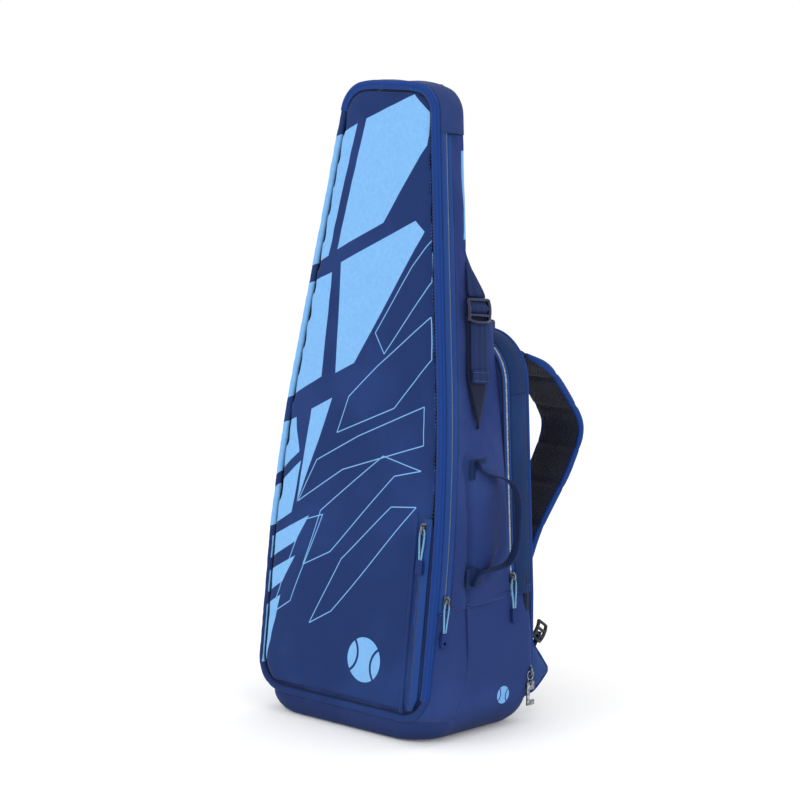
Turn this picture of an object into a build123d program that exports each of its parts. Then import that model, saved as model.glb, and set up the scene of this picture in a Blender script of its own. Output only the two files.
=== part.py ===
"""Racket tournament bag: a tall backpack with a leaning racket compartment, a narrow neck,
a main compartment behind it, and a harness.  Millimetres, +Z up, the front faces -Y, and
the origin is the centre of the footprint on the floor."""

from build123d import *
import math
import os

os.makedirs("parts", exist_ok=True)

# ---- Driving dimensions: the bag ----
half_width = 133.0  # half of the body's width, up to the lower bend
front_foot = -80.0  # where the leaning front plane meets the floor, along Y
lean = 7.0  # degrees the front leans back
divider_face = 57.0  # front face of the wall between the two compartments, along Y
back_inner = 95.0  # inner face of the back panel, along Y
base_height = 24.0  # rim of the base tray
side_seam = 150.0  # seam between the lower and the upper side panels
wall = 3.0  # padded fabric
panel_wall = 4.0  # front panel

# ---- Front outline, measured up the leaning plane ----
panel_foot = 27.0  # bottom edge of the front panel
bend_start = 180.0  # where the straight lower side turns inwards
bend_radius = 1440.0  # the long side curve
bend_angle = 8.4  # degrees it turns
taper_length = 329.0  # straight run up to the neck's shoulder
crown_rise = 8.0  # the neck's arched top above its shoulders
foot_corner = 38.0
neck_corner = 34.0

# ---- Main compartment outline ----
main_top = 442.0
main_shoulder_half = 121.5  # half-width at the arch's corners
main_crown_rise = 6.0
main_corner = 55.0

# ---- Zips ----
binding_width = 4.0
tape_width = 8.0
coil_width = 3.0
tape_thickness = 1.5
coil_proud = 0.8  # how far a coil stands out of its tapes
neck_cap_height = 44.0  # from the racket zip's top up to the neck's shoulder
rear_zip_foot = 45.0
rear_zip_top = 385.0
pocket_zip_x = 110.0
pocket_zip_foot = 40.0  # up the leaning plane
pocket_zip_top = 252.0
pocket_band_width = 24.0
pocket_depth = 8.0
clearance = 0.3  # between a moving piece and what it runs on

# ---- Sliders and pulls ----
shoe_length = 13.0
shoe_width = 9.0
shoe_height = 2.4
bail_width = 2.4
bail_bar = 1.4
bail_hole = 6.0  # clear length under the bail
bail_clear = 2.6  # clear height under the bail
cord_diameter = 2.0
pull_drop = 34.0  # from the bail down to the tab
tab_length = 16.0
tab_width = 10.0
tab_thickness = 4.0
racket_slider_z = 160.0
pocket_slider_v = 240.0
main_slider_z = 170.0
rear_slider_z = 60.0

# ---- Webbing, straps and buckles ----
webbing = 2.0
handle_reach = 52.0
handle_width = 25.0
handle_thickness = 5.0
handle_low = 182.0
handle_high = 300.0
handle_turn = 60.0  # degrees the handle lies back from straight out
haul_half = 40.0
haul_reach = 152.0
haul_z = 434.0
haul_width = 20.0
strap_x = 84.0
strap_width = 62.0
strap_thickness = 14.0
strap_swing_clear = 22.0  # from the back face to the top of the strap's swinging part
strap_top_z = 415.0
adjuster_width = 34.0
wing_x = 111.0
wing_thickness = 12.0
pad_thickness = 10.0
pad_corner = 18.0
spine_pad_x = 50.0
spine_pad_z = 287.0
spine_pad_width = 56.0
spine_pad_height = 180.0
hip_pad_z = 105.0
hip_pad_width = 130.0
hip_pad_height = 76.0
handle_patch_length = 26.0
handle_patch_width = 22.0
handle_stub = 17.0  # how far the sewn ends stand off the wall
neck_strap_v = 480.0  # the neck straps' buckles, up the leaning plane
neck_strap_depth = 53.0  # and behind it
neck_depth = 41.0  # thickness of the neck, square to its face: two racket handles
neck_slope_foot = 465.0  # the racket compartment thins towards the neck from here, along Z
neck_slope_top = 535.0  # and reaches the neck's thickness here

lean_sin = math.sin(math.radians(lean))
lean_cos = math.cos(math.radians(lean))
front_plane = Plane(origin=(0, front_foot, 0), x_dir=(1, 0, 0), z_dir=(0, -lean_cos, lean_sin))


def upright(y):
    """A plane that faces the front at the given Y: its own axes are X and Z."""
    return Plane(origin=(0, y, 0), x_dir=(1, 0, 0), z_dir=(0, -1, 0))


def front_x(v):
    """Half-width of the front outline at a height v up the leaning plane."""
    if v <= bend_start:
        return half_width
    bend_top = bend_start + bend_radius * math.sin(math.radians(bend_angle))
    if v <= bend_top:
        return half_width - bend_radius + math.sqrt(bend_radius**2 - (v - bend_start) ** 2)
    bend_in = bend_radius * (1 - math.cos(math.radians(bend_angle)))
    return half_width - bend_in - (v - bend_top) * math.tan(math.radians(bend_angle))


def front_outline(inset):
    """The leaning front: straight sides, a long bend, a taper and an arched neck."""
    with BuildSketch() as outline:
        with BuildLine():
            foot = Line((0, panel_foot), (half_width, panel_foot))
            side = Line(foot @ 1, (half_width, bend_start))
            bend = CenterArc((half_width - bend_radius, bend_start), bend_radius, 0, bend_angle)
            taper = PolarLine(bend @ 1, taper_length, 90 + bend_angle)
            crown_top = (taper @ 1).Y + crown_rise
            TangentArc((0, crown_top), taper @ 1, tangent=(1, 0))
            mirror(about=Plane.YZ)
        make_face()
        low_corners = outline.vertices().filter_by(lambda p: p.Y < panel_foot + 1 and abs(p.X) > 1)
        fillet(low_corners, foot_corner)
        shoulder = (taper @ 1).Y
        high_corners = outline.vertices().filter_by(lambda p: p.Y > shoulder - 1 and abs(p.X) > 1)
        fillet(high_corners, neck_corner)
        if inset != 0:
            offset(amount=-inset, mode=Mode.REPLACE)
    return outline.sketch


def main_outline(inset):
    """The main compartment's arched back, from the base tray up."""
    with BuildSketch() as outline:
        with BuildLine():
            foot = Line((0, base_height), (half_width, base_height))
            side = Line(foot @ 1, (half_width, side_seam))
            shoulder = (main_shoulder_half, main_top - main_crown_rise)
            Line(side @ 1, shoulder)
            TangentArc((0, main_top), shoulder, tangent=(1, 0))
            mirror(about=Plane.YZ)
        make_face()
        top = outline.vertices().filter_by(lambda p: abs(p.X) > 1 and p.Y > shoulder[1] - 1)
        fillet(top, main_corner)
        if inset != 0:
            offset(amount=-inset, mode=Mode.REPLACE)
    return outline.sketch


def hand_in(piece, name):
    """Name a finished piece and write it."""
    piece.part.label = name
    export_step(piece.part, f"parts/{name}.step")


def front_ring(outer, inner, centre, size):
    """Part of a ring that follows the front outline, in the front plane's own axes."""
    with BuildSketch() as ring:
        add(outer)
        add(inner, mode=Mode.SUBTRACT)
        with Locations(centre):
            Rectangle(*size, mode=Mode.INTERSECT)
    return ring.sketch


bend_top_v = bend_start + bend_radius * math.sin(math.radians(bend_angle))
shoulder_v = bend_top_v + taper_length * math.cos(math.radians(bend_angle))
racket_zip_top = shoulder_v - neck_cap_height
outline_edge = front_outline(0)
outline_wall = front_outline(wall)
far = 900.0  # longer than anything here
neck_cut = racket_zip_top  # the neck's cap starts where the racket zip ends
depth_all = 200.0  # deeper than the racket compartment

# ---- Front panel, its pocket and its binding ----
panel_inset = binding_width / 2
with BuildPart() as front_panel:
    with BuildSketch(front_plane):
        add(front_outline(panel_inset))
    extrude(amount=-panel_wall)
hand_in(front_panel, "front_panel")

with BuildPart() as pocket_lining:
    with BuildSketch(front_plane.offset(-panel_wall - pocket_depth)):
        add(front_outline(wall))
        with Locations((0, (pocket_zip_foot + pocket_zip_top) / 2 + 5)):
            Rectangle(far, pocket_zip_top - pocket_zip_foot + 10, mode=Mode.INTERSECT)
    extrude(amount=-tape_thickness)
hand_in(pocket_lining, "pocket_lining")

with BuildPart() as front_binding:
    with BuildSketch(front_plane):
        add(front_outline(-panel_inset))
        add(front_outline(panel_inset), mode=Mode.SUBTRACT)
    extrude(amount=-panel_wall)
hand_in(front_binding, "front_binding")

# ---- Racket zip: two tapes and a coil down the right edge ----
zip_centre = (half_width / 2, racket_zip_top / 2)
zip_size = (half_width + 20, racket_zip_top)
tape_ring = front_ring(front_outline(0.3), front_outline(0.3 + tape_thickness), zip_centre, zip_size)
coil_ring = front_ring(front_outline(-coil_proud), front_outline(2.0), zip_centre, zip_size)
tape_front = panel_wall
coil_front = tape_front + tape_width
tape_rear = coil_front + coil_width
gusset_front = tape_rear + tape_width

with BuildPart() as racket_zip_tape:
    for start in (tape_front, tape_rear):
        with BuildSketch(front_plane.offset(-start)):
            add(tape_ring)
        extrude(amount=-tape_width)
    split(bisect_by=Plane.XY.offset(side_seam), keep=Keep.TOP)
hand_in(racket_zip_tape, "racket_zip_tape")

with BuildPart() as racket_zip_coil:
    with BuildSketch(front_plane.offset(-coil_front)):
        add(coil_ring)
    extrude(amount=-coil_width)
    split(bisect_by=Plane.XY.offset(side_seam), keep=Keep.TOP)
hand_in(racket_zip_coil, "racket_zip_coil")


# ---- Racket compartment walls ----
def neck_rear(inset):
    """The racket compartment's back edge seen from the side, as (y, z) points."""
    rear = []
    for z in (neck_slope_top, 2 * neck_slope_top):
        y = front_foot + z * lean_sin / lean_cos + neck_depth / lean_cos
        rear.append((y - inset, z))
    return [(divider_face - inset, neck_slope_foot), *rear]


with BuildPart() as behind_neck:
    with BuildSketch(Plane.YZ):
        with BuildLine():
            Polyline(
                *neck_rear(0),
                (far, 2 * neck_slope_top),
                (far, neck_slope_foot),
                close=True,
            )
        make_face()
    extrude(amount=far, both=True)


def racket_wall(name, start, centre, size):
    """A wall of the racket compartment, between the front and the divider."""
    with BuildPart() as piece:
        with BuildSketch(front_plane.offset(-start)):
            add(front_ring(outline_edge, outline_wall, centre, size))
        extrude(amount=-depth_all)
        split(bisect_by=upright(divider_face), keep=Keep.TOP)
        split(bisect_by=Plane.XY.offset(side_seam), keep=Keep.TOP)
        add(behind_neck.part, mode=Mode.SUBTRACT)
    hand_in(piece, name)


racket_wall("right_gusset", gusset_front, (half_width, neck_cut / 2), (2 * half_width, neck_cut))
racket_wall("left_gusset", panel_wall, (-half_width, neck_cut / 2), (2 * half_width, neck_cut))
racket_wall("neck_cap", panel_wall, (0, neck_cut + far / 2), (far, far))

with BuildPart() as neck_back_panel:
    with BuildSketch(front_plane.offset(-panel_wall)):
        add(outline_wall)
    extrude(amount=-depth_all)
    with BuildSketch(Plane.YZ):
        with BuildLine():
            Polyline(
                (divider_face, main_top - 12),
                *neck_rear(0),
                *reversed(neck_rear(wall)),
                (divider_face - wall, main_top - 12),
                close=True,
            )
        make_face()
    extrude(amount=far, both=True, mode=Mode.INTERSECT)
hand_in(neck_back_panel, "neck_back_panel")

# ---- Base ----
with BuildPart() as base_tray:
    with BuildSketch():
        with Locations((0, (front_foot + back_inner + wall) / 2)):
            RectangleRounded(2 * half_width, back_inner + wall - front_foot, 8)
    extrude(amount=base_height)
    fillet(base_tray.faces().sort_by(Axis.Z)[0].edges(), 7)
    with BuildSketch(Plane.XY.offset(wall)):
        with Locations((0, (front_foot + back_inner + wall) / 2)):
            RectangleRounded(2 * (half_width - wall), back_inner - wall - front_foot, 6)
    extrude(amount=base_height, mode=Mode.SUBTRACT)
    split(bisect_by=front_plane, keep=Keep.BOTTOM)
hand_in(base_tray, "base_tray")

board = 3.0
with BuildPart() as base_board:
    with BuildSketch(Plane.XY.offset(wall)):
        with Locations((0, (front_foot + back_inner) / 2 + wall)):
            Rectangle(2 * (half_width - 2 * wall), back_inner - front_foot - 5 * wall)
    extrude(amount=board)
hand_in(base_board, "base_board")

with BuildPart() as divider_panel:
    with BuildSketch(upright(divider_face)):
        add(main_outline(wall))
        with Locations((0, base_height)):
            Rectangle(2 * (half_width - 2 * wall), 2 * (base_height - wall - board))
    extrude(amount=-wall)
hand_in(divider_panel, "divider_panel")


# ---- Lower side panels, with the corner that wraps to the front ----
def lower_side(name, side):
    """The lower side panel: one wall from the front seam to the back panel."""
    with BuildPart() as piece:
        with BuildSketch(Plane.YZ.offset(side * half_width - (wall if side > 0 else 0))):
            with Locations(((front_foot + back_inner) / 2, (base_height + side_seam) / 2)):
                Rectangle(back_inner - front_foot, side_seam - base_height)
        extrude(amount=wall)
        with BuildSketch(front_plane.offset(-panel_wall)):
            with Locations((side * (half_width - foot_corner / 2), panel_foot + foot_corner / 2)):
                Rectangle(foot_corner, foot_corner + 4)
            add(front_outline(wall + 2), mode=Mode.SUBTRACT)
        extrude(amount=-wall)
        split(bisect_by=front_plane.offset(-panel_wall), keep=Keep.BOTTOM)
        split(bisect_by=Plane.XY.offset(base_height), keep=Keep.TOP)
    hand_in(piece, name)


lower_side("right_lower_panel", 1)
lower_side("left_lower_panel", -1)

# ---- Main compartment: silver zip, gussets, back ----
main_zip_coil_y = divider_face + tape_width / 2
main_zip_rear_y = main_zip_coil_y + coil_width
main_gusset_y = main_zip_rear_y + tape_width / 2


def main_ring(outer, inner):
    """A ring that follows the main compartment's outline."""
    with BuildSketch() as ring:
        add(main_outline(outer))
        add(main_outline(inner), mode=Mode.SUBTRACT)
    return ring.sketch


main_tape_ring = main_ring(0.3, 0.3 + tape_thickness)
with BuildPart() as main_zip_tape:
    for start in (divider_face, main_zip_rear_y):
        with BuildSketch(upright(start)):
            add(main_tape_ring)
        extrude(amount=-tape_width / 2)
    split(bisect_by=Plane.XY.offset(side_seam), keep=Keep.TOP)
hand_in(main_zip_tape, "main_zip_tape")

with BuildPart() as main_zip_coil:
    with BuildSketch(upright(main_zip_coil_y)):
        add(main_ring(-coil_proud, 2.0))
    extrude(amount=-coil_width)
    split(bisect_by=Plane.XY.offset(side_seam), keep=Keep.TOP)
hand_in(main_zip_coil, "main_zip_coil")

arch_foot = main_top - main_corner - 2 * main_crown_rise
for name, centre, size in (
    ("right_main_gusset", (far / 2, (side_seam + arch_foot) / 2), (far, arch_foot - side_seam)),
    ("left_main_gusset", (-far / 2, (side_seam + arch_foot) / 2), (far, arch_foot - side_seam)),
    ("top_main_gusset", (0, arch_foot + far / 2), (far, far)),
):
    with BuildPart() as main_gusset:
        with BuildSketch(upright(main_gusset_y)):
            add(main_ring(0, wall))
            with Locations(centre):
                Rectangle(*size, mode=Mode.INTERSECT)
        extrude(amount=-(back_inner - main_gusset_y))
    hand_in(main_gusset, name)

with BuildPart() as back_panel:
    with BuildSketch(upright(back_inner)):
        add(main_outline(panel_inset))
    extrude(amount=-wall)
hand_in(back_panel, "back_panel")

with BuildPart() as back_binding:
    with BuildSketch(upright(back_inner)):
        add(main_ring(-panel_inset, panel_inset))
    extrude(amount=-wall)
    split(bisect_by=Plane.XY.offset(base_height), keep=Keep.TOP)
hand_in(back_binding, "back_binding")

back_face = back_inner + wall
with BuildPart() as back_pads:
    with BuildSketch(upright(back_face)):
        with Locations((spine_pad_x, spine_pad_z), (-spine_pad_x, spine_pad_z)):
            RectangleRounded(spine_pad_width, spine_pad_height, pad_corner)
        with Locations((0, hip_pad_z)):
            RectangleRounded(hip_pad_width, hip_pad_height, pad_corner)
    extrude(amount=-pad_thickness)
    fillet(back_pads.faces().group_by(Axis.Y)[-1].edges(), 5)
hand_in(back_pads, "back_pads")

# ---- Rear zip, on the outside of the right side close to the back ----
rear_zip_face = back_inner - tape_width - coil_width
rear_coil_y = rear_zip_face + tape_width / 2

rear_tape = 1.0
rear_coil_height = 1.8
rear_centre = (half_width, (rear_zip_foot + rear_zip_top) / 2)
rear_size = (half_width, rear_zip_top - rear_zip_foot)
with BuildPart() as rear_zip_tape:
    for start in (rear_zip_face, rear_coil_y + coil_width):
        with BuildSketch(upright(start)):
            add(main_ring(-rear_tape, 0))
            with Locations(rear_centre):
                Rectangle(*rear_size, mode=Mode.INTERSECT)
        extrude(amount=-tape_width / 2)
hand_in(rear_zip_tape, "rear_zip_tape")
with BuildPart() as rear_zip_coil:
    with BuildSketch(upright(rear_coil_y)):
        add(main_ring(-rear_coil_height, 0))
        with Locations(rear_centre):
            Rectangle(*rear_size, mode=Mode.INTERSECT)
    extrude(amount=-coil_width)
hand_in(rear_zip_coil, "rear_zip_coil")

# ---- Pocket zip: a ribbed band on the front panel ----
pocket_tape = 1.0
pocket_coil_width = 9.0
pocket_coil_height = 1.6
pocket_length = pocket_zip_top - pocket_zip_foot
pocket_centre = (pocket_zip_x, (pocket_zip_top + pocket_zip_foot) / 2)
with BuildPart() as pocket_zip_band:
    with BuildSketch(front_plane):
        with Locations(pocket_centre):
            RectangleRounded(pocket_band_width, pocket_length, 5)
    extrude(amount=pocket_tape)
    with BuildSketch(front_plane):
        with Locations(pocket_centre):
            Rectangle(pocket_coil_width, pocket_length)
    extrude(amount=pocket_coil_height)
hand_in(pocket_zip_band, "pocket_zip_band")


# ---- Zip sliders: a shoe over the coil with a bail for the pull ----
def slider_plane(origin, up, out):
    """A plane on a coil's top: its Y runs up the zip and its Z points out of the bag."""
    up = Vector(*up).normalized()
    out = Vector(*out).normalized()
    return Plane(origin=origin, x_dir=up.cross(out), z_dir=out)


slope = math.atan((half_width - main_shoulder_half) / (main_top - main_crown_rise - side_seam))
up_main = (-math.sin(slope), 0, math.cos(slope))
out_main = (math.cos(slope), 0, math.sin(slope))
up_front = (0, lean_sin, lean_cos)
racket_v = (racket_slider_z + (coil_front + coil_width / 2) * lean_sin) / lean_cos
racket_origin = front_plane.from_local_coords(
    (half_width + coil_proud, racket_v, -(coil_front + coil_width / 2))
)
main_rise = main_slider_z - side_seam
main_origin = Vector(
    half_width - main_rise * math.tan(slope) + coil_proud / math.cos(slope),
    main_zip_coil_y + coil_width / 2,
    main_slider_z,
)
rear_origin = Vector(half_width + rear_coil_height, rear_coil_y + coil_width / 2, rear_slider_z)
pocket_origin = front_plane.from_local_coords((pocket_zip_x, pocket_slider_v, pocket_coil_height))

sliders = {
    "racket": slider_plane(racket_origin, up_front, (1, 0, 0)),
    "pocket": slider_plane(pocket_origin, up_front, (0, -lean_cos, lean_sin)),
    "main": slider_plane(main_origin, up_main, out_main),
    "rear": slider_plane(rear_origin, (0, 0, 1), (1, 0, 0)),
}
cord_height = clearance + shoe_height + bail_clear / 2

for name, plane in sliders.items():
    with BuildPart() as slider:
        with BuildSketch(plane.offset(clearance)):
            Rectangle(shoe_width, shoe_length)
        extrude(amount=shoe_height)
        fillet(slider.edges().filter_by(Axis(plane.origin, plane.z_dir)), 2.5)
        side = Plane(origin=plane.origin, x_dir=plane.y_dir, z_dir=plane.x_dir)
        with BuildSketch(side.offset(-bail_width / 2)):
            with Locations((0, clearance + shoe_height)):
                Rectangle(
                    bail_hole + 2 * bail_bar, bail_clear + bail_bar, align=(Align.CENTER, Align.MIN)
                )
                Rectangle(
                    bail_hole, bail_clear, align=(Align.CENTER, Align.MIN), mode=Mode.SUBTRACT
                )
        extrude(amount=bail_width)
    hand_in(slider, f"{name}_zip_slider")

# ---- Pulls: a folded cord loop through the bail with a moulded tab on its ends ----
half_loop = [(1.5, -34.0), (2.0, -25.0), (3.3, -14.0), (3.7, -6.0), (2.4, 0.0)]
loop_route = half_loop + [(-x, y) for x, y in reversed(half_loop)]


def corner_radii(points):
    """The largest arc that each corner's two runs allow."""
    radii = []
    for before, at, after in zip(points, points[1:], points[2:]):
        run_in = Vector(*at) - Vector(*before)
        run_out = Vector(*after) - Vector(*at)
        half_turn = math.radians(run_in.get_angle(run_out)) / 2
        radii.append(0.45 * min(run_in.length, run_out.length) / math.tan(half_turn))
    return radii


loop_radii = corner_radii(loop_route)
print("pull loop radii", [round(r, 1) for r in loop_radii])

for name in ("racket", "pocket", "main"):
    plane = sliders[name].offset(cord_height)
    with BuildPart() as pull_cord:
        with BuildLine(plane) as route:
            loop = FilletPolyline(*loop_route, radius=loop_radii)
        with BuildSketch(Plane(origin=loop @ 0, z_dir=loop % 0)):
            Circle(cord_diameter / 2)
        sweep(path=loop)
    hand_in(pull_cord, f"{name}_pull_cord")
    print(name, "pull cord length", round(loop.length, 1))
    with BuildPart() as pull_tab:
        with BuildSketch(plane.offset(-tab_thickness / 2)):
            with Locations((0, -pull_drop - tab_length / 2)):
                RectangleRounded(tab_width, tab_length, 2)
        extrude(amount=tab_thickness)
        if name == "racket":
            with BuildSketch(plane.offset(-tab_thickness / 2)):
                with Locations((0, -pull_drop - tab_length + 5)):
                    Circle(2)
            extrude(amount=tab_thickness, mode=Mode.SUBTRACT)
        fillet(pull_tab.edges().filter_by(Axis(plane.origin, plane.z_dir), reverse=True), 0.6)
    hand_in(pull_tab, f"{name}_pull_tab")

# ---- Rear pull: a ring through the bail, a small link and a flat hook-shaped plate ----
rear_pull = sliders["rear"].offset(cord_height)
ring_radius = 5.0
ring_wire = 1.4
link_radius = 3.0
link_wire = 1.2
link_centre = -2 * ring_radius + (ring_wire + link_wire) / 2 - link_radius
with BuildPart() as rear_pull_rings:
    with BuildSketch(Plane(origin=rear_pull.origin, x_dir=rear_pull.z_dir, z_dir=rear_pull.x_dir)):
        Circle(ring_wire / 2)
    ring_centre = rear_pull.from_local_coords((0, -ring_radius, 0))
    revolve(axis=Axis(ring_centre, rear_pull.z_dir))
    link_top = rear_pull.from_local_coords((0, link_centre + link_radius, 0))
    with BuildSketch(Plane(origin=link_top, x_dir=rear_pull.x_dir, z_dir=rear_pull.z_dir)):
        Circle(link_wire / 2)
    revolve(axis=Axis(rear_pull.from_local_coords((0, link_centre, 0)), rear_pull.x_dir))
hand_in(rear_pull_rings, "rear_pull_rings")

hook_hole = link_centre - link_radius - 0.6
hook_top = hook_hole + 3.0
hook_plate = 1.6
hook_width = 12.0
hook_length = 27.0
hook_arm = 4.5
with BuildPart() as rear_pull_hook:
    with BuildSketch(rear_pull.offset(-hook_plate / 2)):
        with Locations((0, hook_top)):
            Rectangle(hook_width, hook_length, align=(Align.CENTER, Align.MAX))
        with Locations((hook_width / 2, hook_top - hook_length / 2 - 2)):
            Rectangle(hook_width - hook_arm, 12, align=(Align.MAX, Align.CENTER), mode=Mode.SUBTRACT)
        with Locations((0, hook_hole)):
            Circle(1.4, mode=Mode.SUBTRACT)
    extrude(amount=hook_plate)
hand_in(rear_pull_hook, "rear_pull_hook")


# ---- Side carry handle ----
def side_x(z, y):
    """Where the right wall stands at a height and depth."""
    v = (y - front_foot) * lean_sin + z * lean_cos
    return front_x(v)


anchor_gap = 1.6
low = Vector(side_x(handle_low, -4) + anchor_gap, -4, handle_low)
high = Vector(side_x(handle_high, 8) + anchor_gap, 8, handle_high)
axis_dir = (high - low).normalized()
turn = math.radians(handle_turn)
reach_dir = Vector(math.cos(turn), math.sin(turn), 0)
reach_dir = (reach_dir - axis_dir * reach_dir.dot(axis_dir)).normalized()
handle_plane = Plane(origin=low, x_dir=reach_dir, z_dir=reach_dir.cross(axis_dir))
span = (high - low).length
lift = 23.0  # the moving loop starts this far from its anchor line
with BuildPart() as side_handle:
    with BuildSketch(handle_plane.offset(-handle_width / 2)) as band:
        with BuildLine():
            FilletPolyline(
                (lift, 8),
                (handle_reach * 0.8, 13),
                (handle_reach, 34),
                (handle_reach, span - 34),
                (handle_reach * 0.8, span - 13),
                (lift, span - 8),
                radius=12,
            )
        trace(line_width=handle_thickness)
    extrude(amount=handle_width)
hand_in(side_handle, "side_handle")
print("handle axis", low, high)

with BuildPart() as handle_anchors:
    for at in (low, high):
        patch_plane = Plane(origin=at, x_dir=(0, 1, 0), z_dir=(1, 0, 0))
        with BuildSketch(patch_plane):
            RectangleRounded(handle_patch_length, handle_patch_width, 2)
        extrude(amount=anchor_gap)
        with BuildSketch(patch_plane):
            Rectangle(14, 8)
        extrude(amount=handle_stub)
hand_in(handle_anchors, "handle_anchors")

# ---- Haul loop at the top of the back ----
haul_start = back_face + 10.5
with BuildPart() as haul_loop:
    with BuildSketch(Plane.XY.offset(haul_z - haul_width / 2)):
        with BuildLine():
            FilletPolyline(
                (-haul_half, haul_start),
                (-haul_half, haul_reach - 12),
                (-haul_half + 14, haul_reach),
                (haul_half - 14, haul_reach),
                (haul_half, haul_reach - 12),
                (haul_half, haul_start),
                radius=8,
            )
        trace(line_width=4)
    extrude(amount=haul_width)
hand_in(haul_loop, "haul_loop")

with BuildPart() as haul_anchor:
    with BuildSketch(upright(back_face)):
        with Locations((0, haul_z - 4)):
            RectangleRounded(2 * haul_half + 8, 10, 3)
    extrude(amount=-1.2)
    with BuildSketch(upright(back_face)):
        with Locations((-haul_half, haul_z - 4), (haul_half, haul_z - 4)):
            Rectangle(4, 10)
    extrude(amount=-6.0)
hand_in(haul_anchor, "haul_anchor")


# ---- Shoulder straps: a curved pad, its webbing and an adjuster, on each side ----
strap_route = [
    (back_face + strap_swing_clear, strap_top_z - 2),
    (152, 392),
    (184, 357),
    (207, 322),
    (190, 284),
    (160, 240),
    (138, 205),
    (back_face + 26, 162),
]
adjuster_top = 158.0
adjuster_height = 22.0
adjuster_y = back_face + 24
foot_anchor_z = 108.0
foot_clear = 14.0


def strap_set(side, word):
    """One shoulder strap with its anchors, webbing and adjuster."""
    centre = side * strap_x
    with BuildPart() as shoulder_pad:
        with BuildSketch(Plane.YZ.offset(centre - strap_width / 2)):
            with BuildLine():
                FilletPolyline(*strap_route, radius=14)
            trace(line_width=strap_thickness)
        extrude(amount=strap_width)
    hand_in(shoulder_pad, f"shoulder_pad_{word}")

    with BuildPart() as strap_adjuster:
        with BuildSketch(upright(adjuster_y - 4)):
            with Locations((centre, adjuster_top - adjuster_height / 2 - 3)):
                RectangleRounded(adjuster_width, adjuster_height, 3)
                with Locations((0, -6), (0, 6)):
                    Rectangle(27, 3.4, mode=Mode.SUBTRACT)
        extrude(amount=-8)
    hand_in(strap_adjuster, f"strap_adjuster_{word}")

    with BuildPart() as strap_webbing:
        with BuildSketch(Plane.YZ.offset(centre - 12.5)):
            with BuildLine():
                Polyline(
                    (adjuster_y, adjuster_top - adjuster_height - 4),
                    (adjuster_y - 4, 122),
                    (back_face + foot_clear, foot_anchor_z),
                )
            trace(line_width=webbing)
        extrude(amount=25)
    hand_in(strap_webbing, f"strap_webbing_{word}")

    # Waist wing, hinged on the back's lower edge
    inner = side * wing_x - wing_thickness / 2
    with BuildPart() as waist_wing:
        with BuildSketch(Plane.YZ.offset(inner)) as wing:
            with BuildLine():
                Polyline(
                    (back_face + 8, 90),
                    (124, 80),
                    (150, 50),
                    (124, 26),
                    (back_face + 8, 26),
                    close=True,
                )
            make_face()
            fillet(wing.vertices().sort_by(Axis.X)[-1], 8)
        extrude(amount=wing_thickness)
    hand_in(waist_wing, f"waist_wing_{word}")

    with BuildPart() as waist_buckle:
        with BuildSketch(Plane.YZ.offset(side * wing_x - 4)):
            with Locations((137, 93)):
                RectangleRounded(20, 26, 3, rotation=-35)
                Rectangle(10, 4, rotation=-35, mode=Mode.SUBTRACT)
        extrude(amount=8)
    hand_in(waist_buckle, f"waist_buckle_{word}")


strap_set(1, "right")
strap_set(-1, "left")

# What the harness is sewn to: a pair of each, one on each side
for name, x, z, width, height, depth in (
    ("strap_anchors", strap_x, strap_top_z, 28, 18, 13),
    ("strap_foot_anchors", strap_x, foot_anchor_z, 16, 16, 9),
    ("wing_anchors", wing_x, 58, 6, 60, 6),
):
    with BuildPart() as anchors:
        with BuildSketch(upright(back_face)):
            with Locations((x, z), (-x, z)):
                Rectangle(width, height)
        extrude(amount=-depth)
    hand_in(anchors, name)


# ---- Compression straps: neck webbing, ladder-lock buckle, tail and V tab ----
def taper_plane(depth, v, side):
    """A plane on the tapering wall: X runs back, Y runs up the wall and Z points out."""
    turn = math.radians(bend_angle)
    up = Vector(0, lean_sin, lean_cos)
    out = Vector(math.cos(turn), 0, 0) + up * math.sin(turn)
    at = front_plane.from_local_coords((front_x(v), v, -depth))
    if side < 0:
        out = Vector(-out.X, out.Y, out.Z)
        at = Vector(-at.X, at.Y, at.Z)
    back = Vector(0, lean_cos, -lean_sin)
    rise = (up - out * up.dot(out)).normalized()
    return Plane(origin=at, x_dir=rise.cross(out), z_dir=out)


compress_width = 32.0
buckle_width = 38.0
buckle_height = 26.0
compress_planes = {"right": taper_plane(neck_strap_depth, neck_strap_v, 1)}
compress_planes["left"] = taper_plane(neck_strap_depth, neck_strap_v, -1)

with BuildPart() as compression_anchors:
    for word, plane in compress_planes.items():
        with BuildSketch(plane):
            with Locations((-8 if word == "right" else 8, 28)):
                Rectangle(compress_width / 2, 26)
        extrude(amount=webbing)
hand_in(compression_anchors, "compression_anchors")

tab_top = -72.0  # the V tab, below the buckle
with BuildPart() as compression_webs:
    for plane in compress_planes.values():
        with BuildSketch(plane):
            with Locations((0, tab_top / 2)):
                Rectangle(compress_width, -tab_top)
            with BuildLine():
                Polyline(
                    (compress_width / 2, tab_top),
                    (compress_width / 2 - 6, tab_top - 12),
                    (0, tab_top - 58),
                    (-compress_width / 2, tab_top),
                    close=True,
                )
            make_face()
        extrude(amount=1.4)
hand_in(compression_webs, "compression_webs")

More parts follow.
